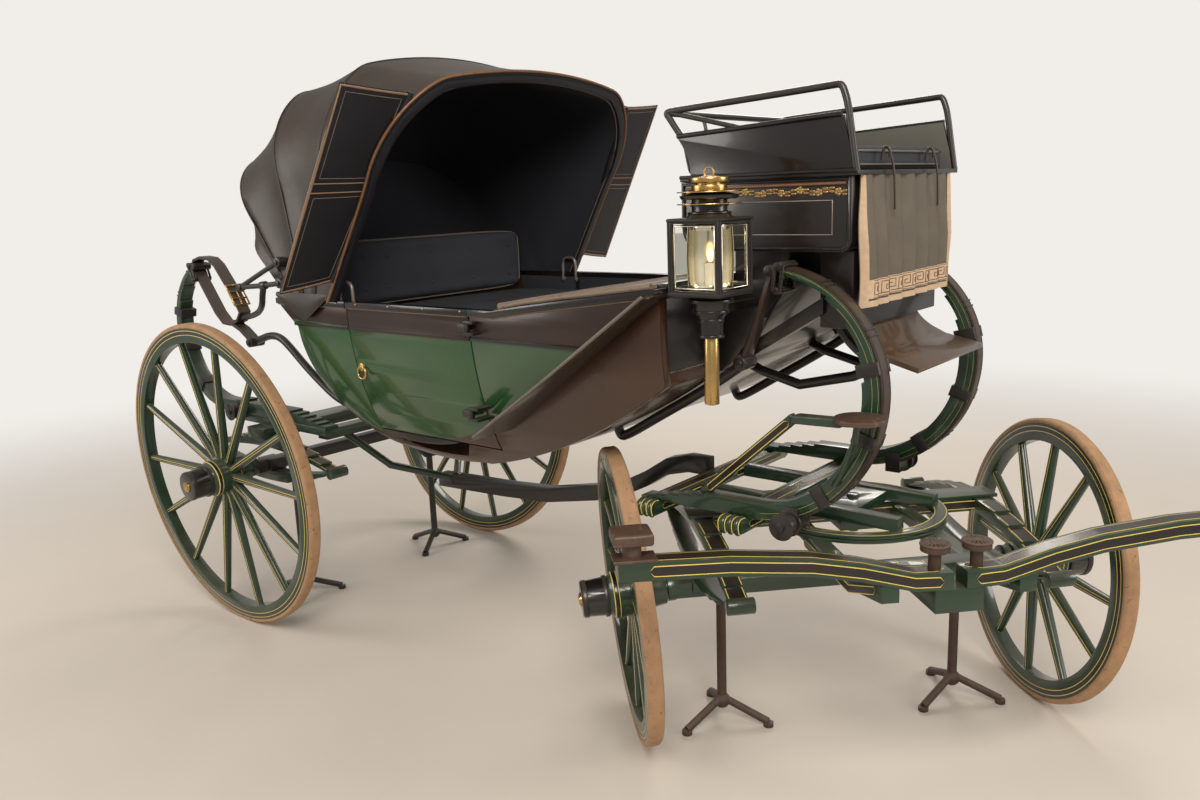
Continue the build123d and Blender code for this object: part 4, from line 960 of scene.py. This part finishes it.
# Seats
def pad(name, node, low, high, crown, tufts, lean=0.0):
    """A stuffed cushion between two corners: crowned faces, sides drawn in, a piped seam and buttons."""
    (x0, y0, z0), (x1, y1, z1) = low, high
    piece = added(bpy.ops.mesh.primitive_cube_add, size=1)
    edit(piece, (bpy.ops.mesh.subdivide, {"number_cuts": 23, "quadcorner": "INNERVERT"}))
    halves = Vector((x1 - x0, y1 - y0, z1 - z0)) / 2
    thin = min(range(3), key=lambda axis: halves[axis])
    flat = [axis for axis in range(3) if axis != thin]
    middle = Vector((x0 + x1, y0 + y1, z0 + z1)) / 2
    corner = min(halves) * 0.8
    for point in piece.data.vertices:
        unit = point.co * 2
        spread = [unit[axis] for axis in flat]
        place = Vector([unit[axis] * halves[axis] for axis in range(3)])
        hold = Vector([max(-halves[a] + corner, min(halves[a] - corner, place[a])) for a in range(3)])
        away = place - hold
        if away.length > corner:
            place = hold + away.normalized() * corner
        swell = (1 - spread[0] ** 2) * (1 - spread[1] ** 2)
        far = [math.hypot(place[flat[0]] - a, place[flat[1]] - b) for a, b in tufts]
        sink = sum(math.exp(-(distance / 26) ** 2) for distance in far)
        lift = crown * swell ** 0.5 - 0.6 * crown * (1 - swell ** 0.5) - 1.1 * crown * min(1, sink)
        share = max(-1.0, min(1.0, unit[thin]))
        place[thin] += lift * share
        draw = 1 - 0.018 * (1 - share * share) * (spread[0] ** 4 + spread[1] ** 4)
        for axis in flat:
            place[axis] *= draw
        place = middle + place
        place.x += lean * (place.z - z0)
        point.co = spot(*place)
    outward(piece)

    def on_pad(a, b, level):
        place = middle.copy()
        for axis, step in zip((*flat, thin), (a, b, level)):
            place[axis] += step
        place.x += lean * (place.z - z0)
        return spot(*place)

    def rounded(value, half):
        return math.copysign(abs(value) ** 0.22, value) * (half - 1)
    long, wide = [halves[axis] for axis in flat]
    turns = [2 * math.pi * i / 40 for i in range(40)]
    seams = []
    for level in (-0.62, 0.62):
        ring = [on_pad(rounded(math.cos(angle), long), rounded(math.sin(angle), wide),
                       level * (halves[thin] - 0.5 * crown))
                for angle in turns]
        seams.append(wire(ring, 0.003, True))
    settle(seams, name + "_piping", piping_grey)
    heads = [ball(on_pad(*tuft, halves[thin] - 0.9 * crown), 0.009) for tuft in tufts]
    settle(heads, name + "_buttons", seat_cloth)
    settle(piece, name, seat_cloth)
    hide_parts(node)


def rows(columns, lines):
    return [(a, b) for a in columns for b in lines]


ACROSS = range(-440, 441, 110)
pad("rear_seat_cushion", "rear_seat", (520, -545, 1144), (900, 545, 1264), 9, rows((-95, 95), ACROSS))
pad("rear_squab", "seat_back", (462, -518, 1274), (541, 518, 1516), 7, rows(ACROSS, (-60, 60)))
pad("coachman_cushion", "seat_cushion", (2050, -314, 1693), (2488, 314, 1754), 6,
    rows((-110, 110), (-210, -70, 70, 210)))
pad("coachman_squab", "seat_squab", (2000, -321, 1694), (2036, 321, 1806), 3,
    rows((-220, -75, 75, 220), (0,)), -0.22)

# the leather apron over the front of the body
APRON = [(1530, 1346), (1575, 1355), (1620, 1363), (1680, 1371), (1740, 1379), (1800, 1387),
         (1870, 1396), (1940, 1405), (2010, 1414), (2080, 1423)]


def apron_place(u, v):
    at = v * (len(APRON) - 1)
    i = min(len(APRON) - 2, int(at))
    x = APRON[i][0] + (APRON[i + 1][0] - APRON[i][0]) * (at - i)
    z = APRON[i][1] + (APRON[i + 1][1] - APRON[i][1]) * (at - i)
    y = 2 * u - 1
    swell = 7 * (1 - y ** 6) * math.sin(math.pi * min(1, v + 0.12))
    dents = 1.5 * noise.noise(Vector((u * 7, v * 5, 1)))
    return spot(x, y * (BODY_HALF - 1), z + swell + dents)


apron = sheet_of(48, 28, apron_place)
hide_thick(apron, 0.010)
settle(apron, "front_apron_leather", ledge_hide)
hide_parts("front_apron")
apron_edge = [apron_place(i / 24, 0) + Vector((0.002, 0, -0.001)) for i in range(25)]
edges = [wire(apron_edge, 0.0105)]
for u in (0.004, 0.996):
    edges.append(wire([apron_place(u, i / 14) + Vector((0, 0, -0.004)) for i in range(15)], 0.0075))
settle(edges, "front_apron_piping", ledge_hide)
folds = []
for i in range(1, 6):
    line = [apron_place(0.02 + 0.96 * j / 20, i / 6) + Vector((0, 0, 0.0004)) for j in range(21)]
    folds.append(wire(line, 0.0016))
settle(folds, "front_apron_seams", ledge_hide)

# Hammercloth
CLOTH_TOP, CLOTH_LOW = 1692, 1352


def cloth_point(u, v, lift=0.0):
    """u across from the right, v from the top edge down."""
    deep = 0.35 + 0.65 * min(1, v * 1.8)
    turns = 7.0 * u + 0.16 * math.sin(7.5 * u) + 0.05 * math.sin(5 * v) * math.sin(9 * u)
    lobe = abs(math.sin(math.pi * turns)) ** 0.55
    edge = max(0.0, 1 - u * 14)
    x = 2502 + 4 * v + (31 * lobe + 2 * noise.noise(Vector((u * 6, v * 3, 5)))) * deep
    right, left = -304 + 5 * math.sin(9 * v + 1) * edge, 286 - 34 * v
    y = right + (left - right) * u + 9 * math.sin(2 * math.pi * turns) * deep * min(1, 6 * u * (1 - u))
    z = CLOTH_TOP - (CLOTH_TOP - CLOTH_LOW) * v + 5 * lobe * v - 6 * v * (1 - u)
    return spot(x + lift, y, z)


cloth = sheet_of(168, 40, cloth_point)
hide_thick(cloth, 0.0035)
settle(cloth, "hammercloth_drape", hammer_cloth)
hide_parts("hammercloth")
BRAIDS = ((0.0, 0.018, 0.0, 1.0), (0.982, 1.0, 0.0, 1.0), (0.0, 1.0, 0.955, 1.0), (0.0, 1.0, 0.80, 0.94))
braid = []
for u0, u1, v0, v1 in BRAIDS:
    across, down = max(3, int(168 * (u1 - u0))), max(2, int(40 * (v1 - v0)))
    strip = sheet_of(across, down, lambda a, b: cloth_point(u0 + (u1 - u0) * a, v0 + (v1 - v0) * b, 2.6))
    braid.append(thicken(strip, 0.0016))
settle(braid, "hammercloth_braid", braid_cream, 40)
KEY = [(0, 0), (0, 1), (0.74, 1), (0.74, 0.30), (0.36, 0.30), (0.36, 0.66), (0.55, 0.66)]
KEYS, KEY_FOOT, KEY_HIGH, KEY_OUT = 17, 0.915, 0.088, 3.6
keys = []
for i in range(KEYS):
    u0, du = 0.04 + 0.92 * i / KEYS, 0.92 / KEYS
    corners = [(u0 + du * a, KEY_FOOT - KEY_HIGH * b) for a, b in KEY]
    key = []
    for (ua, va), (ub, vb) in zip(corners, corners[1:]):
        key += [cloth_point(ua + (ub - ua) * t / 4, va + (vb - va) * t / 4, KEY_OUT) for t in range(4)]
    key.append(cloth_point(*corners[-1], KEY_OUT))
    keys.append(rod(key, 0.0011, sides=1))
    keys.append(rod([cloth_point(u0 + du * t / 4, KEY_FOOT, KEY_OUT) for t in range(5)], 0.0011, sides=1))
for v in (0.808, 0.933):
    keys.append(rod([cloth_point(0.035 + 0.93 * t / 140, v, 3.5) for t in range(141)], 0.0008, sides=1))
settle(keys, "hammercloth_key_border", key_brown, 40)

# Lanterns
SQUARE = ((-1, -1), (1, -1), (1, 1), (-1, 1))
for side, way in SIDES:
    def lamp(dx, dy, z):
        """A place measured from the lantern's middle line."""
        return spot(LAMP_X + dx, way * LAMP_Y + dy, z)

    def rings_at(rows, sides, edge=0.001):
        return [drum(lamp(0, 0, z), UP, radius, depth, sides, edge) for z, radius, depth in rows]

    def mirror_place(u, v):
        """A half round behind the candle, open outwards and forwards."""
        angle = math.atan2(way * 0.80, 0.60) + math.pi / 2 + math.pi * u
        radius = 54 + 4 * math.sin(math.pi * v)
        return lamp(radius * math.cos(angle), radius * math.sin(angle), LAMP_Z0 + 18 + 152 * v)
    posts = [rod([lamp(dx * 73, dy * 73, z) for z in (LAMP_Z0 + 2, 1495, LAMP_Z1 - 2)], 0.0042)
             for dx, dy in SQUARE]
    posts += [rod([lamp(dx * 74, dy * 74, z) for dx, dy in SQUARE], 0.0050, True)
              for z in (LAMP_Z0 + 6, LAMP_Z1 - 4)]
    settle(posts, "lantern_frame_" + side, black_coach_paint, 50)
    pane = ((-58, LAMP_Z0 + 20), (58, LAMP_Z0 + 20), (58, LAMP_Z1 - 18), (-58, LAMP_Z1 - 18))
    beads = [rod([lamp(fx * 70 + fy * a, fy * 70 + fx * a, z) for a, z in pane], 0.0022, True)
             for fx, fy in ((0, -1), (0, 1), (-1, 0), (1, 0))]
    settle(beads, "lantern_beads_" + side, silvered, 50)
    bowls = rings_at(((LAMP_Z0 + 22, 0.052, 0.010), (LAMP_Z1 - 22, 0.048, 0.014)), 32)
    settle(bowls, "lantern_reflectors_" + side, silvered, 40)
    flame = ball(lamp(0, 0, LAMP_Z0 + 100), 0.008, (1, 1, 2.3))
    settle(flame, "lantern_flame_" + side, candle_flame)
    collar = rings_at(((LAMP_Z0 - 14, 0.058, 0.007), (LAMP_Z0 - 42, 0.046, 0.007),
                       (LAMP_Z0 - 64, 0.034, 0.007), (LAMP_Z0 - 104, 0.034, 0.007),
                       (LAMP_Z1 + 12, 0.054, 0.005), (LAMP_Z1 + 30, 0.047, 0.005),
                       (LAMP_Z1 + 70, 0.040, 0.005)), 32)
    settle(collar, "lantern_rings_" + side, black_coach_paint, 40)
    rims = rings_at(((LAMP_Z1 + 34, 0.080, 0.0026), (LAMP_Z1 + 63, 0.080, 0.0026),
                     (LAMP_Z1 + 72, 0.044, 0.014), (LAMP_Z1 + 92, 0.0495, 0.010)), 40)
    rims += rings_at([(LAMP_Z0 - 194, 0.0192, 0.172)], 32, 0.002)
    settle(rims, "lantern_brass_rims_" + side, brass, 40)
    turns = [a * math.pi / 6 for a in range(12)]
    ring = [lamp(14 * math.cos(angle), 0, LAMP_Z1 + 108 + 14 * math.sin(angle)) for angle in turns]
    settle(wire(ring, 0.0022, True), "lantern_ring_" + side, brass)
    mirror = thicken(sheet_of(28, 12, mirror_place), 0.0012)
    settle(mirror, "lantern_mirror_" + side, silvered)

# Boot and coachman's seat trim
BOOT_Y, GILT_Z, LEAF_STEP = 322.6, 1643, 18
for side, way in SIDES:
    y = way * BOOT_Y
    outline = [(1986, 1672), (1986, 1562)] + arc((1986, 1560), (2004, 1514), (2052, 1498), 6)
    outline += [(2452, 1498)] + arc((2460, 1498), (2477, 1506), (2484, 1524), 6) + [(2484, 1672)]
    # the inner line is a dark moulding drawn in light silvered iron: its light colour is painted highlight
    inner = [(2030, 1620), (2030, 1568), (2040, 1546), (2066, 1534), (2440, 1534), (2440, 1620)]
    copper = ((1996, 1660), (2240, 1661), (2478, 1662))
    for name, line, shift, radius, closed, material in (
            ("moulding", outline, 0, 0.0050, True, patent_hide),
            ("line", inner, 0, 0.0022, True, silvered_iron_and_highlight),
            ("copper_line", copper, way * 2, 0.0040, False, copper_bead)):
        trim = rod(side_run(y + shift, line), radius, closed)
        settle(trim, "boot_%s_%s" % (name, side), material)
    # a gilt moulding of leaves and small flowers under the copper line
    leaves = []
    for count, x in enumerate(range(2006, 2478, LEAF_STEP)):
        z = GILT_Z + 4 * math.sin(count * 1.4)
        if count % 3 == 1:
            for petal in range(5):
                angle = 2 * math.pi * petal / 5 + count
                place = spot(x + 6.5 * math.cos(angle), y + way * 0.5, z + 6.5 * math.sin(angle))
                leaves.append(ball(place, 0.0048, (1, 0.45, 1), 8))
            leaves.append(ball(spot(x, y + way * 1.5, z), 0.0036, (1, 0.6, 1), 8))
        else:
            for tilt in (-1, 1):
                place = spot(x, y + way * 0.5, z + tilt * 4.5)
                leaves.append(ball(place, 0.0058, (1.5, 0.4, 0.62), 8))
    stem = [spot(1998 + 4 * i, y + way * 0.3, GILT_Z + 4 * math.sin(i * 4 / LEAF_STEP * 1.4))
            for i in range(120)]
    leaves.append(rod(stem, 0.0016))
    settle(leaves, "boot_gilt_moulding_" + side, old_gilt)
    edge = side_run(way * 338, ((1980, 1804), (2140, 1812), (2310, 1821), (2470, 1829)))
    low = [spot(x, way * 340, 1692) for x in (1988, 2250, 2512)]
    rolls = [rod(edge, 0.0065), rod(low, 0.0055)]
    settle(rolls, "seat_side_rolls_" + side, patent_hide)
for count, y in enumerate((-165, 130)):
    hook = side_run(y, ((2500, 1716), (2502, 1740), (2508, 1750), (2518, 1748), (2523, 1736), (2521, 1722)))
    tail = [spot(x, y + b, z)
            for x, b, z in ((2523, 0, 1734), (2531, 3, 1700), (2534, 6, 1650), (2534, 9, 1590))]
    strap = [wire(hook, 0.0042), wire(tail, 0.0030)]
    settle(strap, "rein_hook_%d" % (count + 1), brace_hide)

# the rails over the seat sides, bent round at their corners
RAIL = [(2508, 1690), (2495, 1771), (2482, 1853), (2474, 1878), (2468, 1893), (2460, 1900), (2446, 1899),
        (2300, 1891), (2100, 1881), (1962, 1874), (1942, 1872), (1940, 1866), (1948, 1856), (1990, 1800)]
rail_runs = []
for way in (-1, 1):
    y = way * 330
    rail_runs.append(wire(side_run(y, RAIL), 0.0090, sides=4))
    rail_runs.append(rod(side_run(y, ((1946, 1871), (2066, 1842), (2194, 1810))), 0.0070))
    rail_runs.append(rod(side_run(y, ((2060, 1846), (2066, 1828), (2070, 1808))), 0.0050))
rail_runs.append(rod([spot(1941, y, 1869) for y in (-330, 0, 330)], 0.0090, sides=4))
rail_set = settle(rail_runs, "seat_rail_bars", forged_iron)
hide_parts("seat_rails")

# Undercarriage trim
BEDS = ((1850, 1915), (2140, 2215))
C_FOOT = 750
RIDGE = ((376, -1), (392, 1), (404, -5), (409, -18), (403, -34), (396, -38))
VEIN = ((376, 3), (393, 6), (409, -1), (416, -18), (408, -37))
for name, line, parts, radius, material in (
        ("bed_scrolls", RIDGE, (0.2, 0.5, 0.8), 0.0095, green_coach_paint),
        ("bed_scroll_lines", VEIN, (0.06, 0.35, 0.65, 0.94), 0.0016, lining_yellow)):
    curls = [wire([spot(x0 + (x1 - x0) * part, way * y, C_FOOT + z) for y, z in line], radius)
             for x0, x1 in BEDS for way in (-1, 1) for part in parts]
    settle(curls, name, material)

strips = []
for x0, x1 in BEDS:
    for way in (-1, 1):
        strips.append(lined_strip([spot(x1, way * y, 731) for y in (60, 362)], UP, AHEAD, 20))
        strips.append(lined_strip([spot((x0 + x1) / 2, way * y, C_FOOT) for y in (20, 300)], AHEAD, UP, 36))
stay = [spot(2070, -353.5, 808), spot(2340, -364.5, 1043)]
stay_up = LEFT.cross((stay[1] - stay[0]).normalized())
stay_top = [spot(2060, -341, 813.5), spot(2342, -352.4, 1059)]
strips.append(lined_strip(stay, stay_up, -LEFT, 20, 2.2))
strips.append(lined_strip(stay_top, LEFT, -stay_up, 18, 2.0))
add_lining("upper_bed_lining", "root", strips)

strips = []
for t in (-170, 170):
    top = [fore(478, t, 690), fore(604, t, 742)]
    strips.append(lined_strip(top, FORE_Y, (top[1] - top[0]).cross(FORE_Y), 30))
    for face in (-1, 1):
        line = [fore(s, t + face * 22, z) for s, z in ((120, 655), (470, 655), (640, 718))]
        strips.append(lined_strip(line, UP, FORE_Y * face, 22))
for way in (-1, 1):
    for s, out in ((-55, FORE_X), (-145, -FORE_X)):
        strips.append(lined_strip([fore(s, way * t, 668) for t in (60, 470)], UP, out, 26))
    strips.append(lined_strip([fore(644, way * t, 765) for t in (26, 50)], FORE_X, UP, 26, 1.8, 3))
for t in (-34, 34):
    strips.append(lined_strip([fore(s, t, 698) for s in (420, 600)], FORE_Y, UP, 30))
add_lining("lower_bed_lining", "forecarriage", strips)


def spring_lines(x, z, half, rise, across, maker):
    """Yellow lines and black panels on the leaf ends of an elliptic spring's two bows."""
    radius = (half * half + rise * rise) / (2 * rise)
    spread = math.asin(half / radius)
    aside = maker(0, 1, 0) - maker(0, 0, 0)
    lines, panels = [], []
    for i in range(5):
        first, last = spread * (1 - 0.17 * (i + 1)), spread * (1 - 0.17 * i if i else 0.955)
        level = radius + 8 * i + 0.4
        for end in (-1, 1):
            for bow in (-1, 1):
                turns = [end * (first + (last - first) * step / 6) for step in range(7)]
                bend = [(x + level * math.sin(angle), z + bow * (rise - radius + level * math.cos(angle)))
                        for angle in turns]
                for edge in (-23, 23):
                    lines.append(ribbon([maker(a, across + edge, b) for a, b in bend], aside, 0.0022, 0.0006))
                panels.append(ribbon([maker(a, across, b) for a, b in bend], aside, 0.040, 0.0005))
    return lines, panels


for kind, body, x, z, half, rise, apart, maker in (
        ("front", "forecarriage", -100, FRONT_EYE, 470, 70, 445, fore),
        ("rear", "root", 0, REAR_EYE, 450, 58, 470, spot)):
    pairs = [spring_lines(x, z, half, rise, way * apart, maker) for way in (-1, 1)]
    for index, (name, material) in enumerate((("lines", lining_yellow), ("panels", black_coach_paint))):
        pieces = pairs[0][index] + pairs[1][index]
        settle(pieces, "%s_spring_%s" % (kind, name), material, body=body)

rings = []
for radius in (0.234, 0.266):
    outs = [Vector((math.cos(a * math.pi / 36), math.sin(a * math.pi / 36), 0)) for a in range(73)]
    rings.append(ribbon([spot(KING_X, 0, 711.4) + out * radius for out in outs], outs, 0.0022, 0.0006))
settle(rings, "wheel_plate_lines", lining_yellow)

SHACKLE = ((-32, -36), (34, -36), (34, 36), (-32, 36))
for kind in C_SPRINGS:
    irons = []
    for way in (-1, 1):
        y = way * C_SPRINGS[kind][4]
        tip = C_SPRINGS[kind][5] - 5
        x, z, ray = c_arc(kind, C_THICK / 2, tip, tip, 1)[0]
        along = Vector((-ray.z, 0, ray.x))
        middle = Vector((x, y, z))
        for shift in (-11, 11):
            ring = [middle + along * shift + ray * a + Vector((0, b, 0)) for a, b in SHACKLE]
            irons.append(rod([spot(*point) for point in ring], 0.0062, True))
        for reach, radius, depth in ((33, 0.011, 0.088), (-32, 0.009, 0.084)):
            irons.append(drum(spot(*(middle + ray * reach)), LEFT, radius, depth, 20))
    settle(irons, kind + "_brace_shackles", forged_iron, 50)

stay_bars = [bar_between(spot(2050, -340, 791), spot(2352, -352.3, 1054), 0.027, 0.024),
             bar_between(spot(2392, -424, 1070), spot(2536, -443, 1079), 0.022, 0.040)]
settle(stay_bars, "step_stay_bars", green_coach_paint, 40)

# roller bolts: ribbed rims on all four, and a worn leather cover over the right outer one
BOLTS, BOLT_HIGH = ((-770, 849), (-52, 765), (52, 765), (770, 849)), 64
for count, (t, z) in enumerate(BOLTS):
    top = fore(BAR_S, t, z + BOLT_HIGH)

    def on_cap(r, angle, h):
        return top + Vector((r * math.cos(angle), r * math.sin(angle), h))
    ribs = []
    for a in range(16):
        line = ((0.012, 0.001), (0.026, 0.002), (0.033, -0.002))
        ribs.append(wire([on_cap(r, a * math.pi / 8, h) for r, h in line], 0.0026))
    ribs.append(wire([on_cap(0.033, a * math.pi / 12, -0.002) for a in range(24)], 0.0034, True))
    ribs.append(drum(top + Vector((0, 0, 0.001)), UP, 0.012, 0.005))
    settle(ribs, "roller_bolt_ribs_%d" % (count + 1), rusty_iron, body="forecarriage")
cover = added(bpy.ops.mesh.primitive_cube_add, size=1, location=fore(BAR_S, -770, 904),
              rotation=(0, 0, STEER))
cover.scale = (0.086, 0.094, 0.030)
fix_place(cover)
apply_modifier(cover, "BEVEL", width=0.009, segments=4)
apply_modifier(cover, "SUBSURF", levels=1, render_levels=1)
settle(cover, "roller_bolt_cover", cover_hide, body="forecarriage")
necks = [drum(fore(BAR_S, -770, 873), UP, 0.0225, 0.044, 24, 0.002),
         bar_between(fore(BAR_S - 30, -765, 852), fore(BAR_S + 32, -765, 852), 0.008, 0.100, 0.002)]
settle(necks, "roller_bolt_neck", cover_hide, 50, "forecarriage")
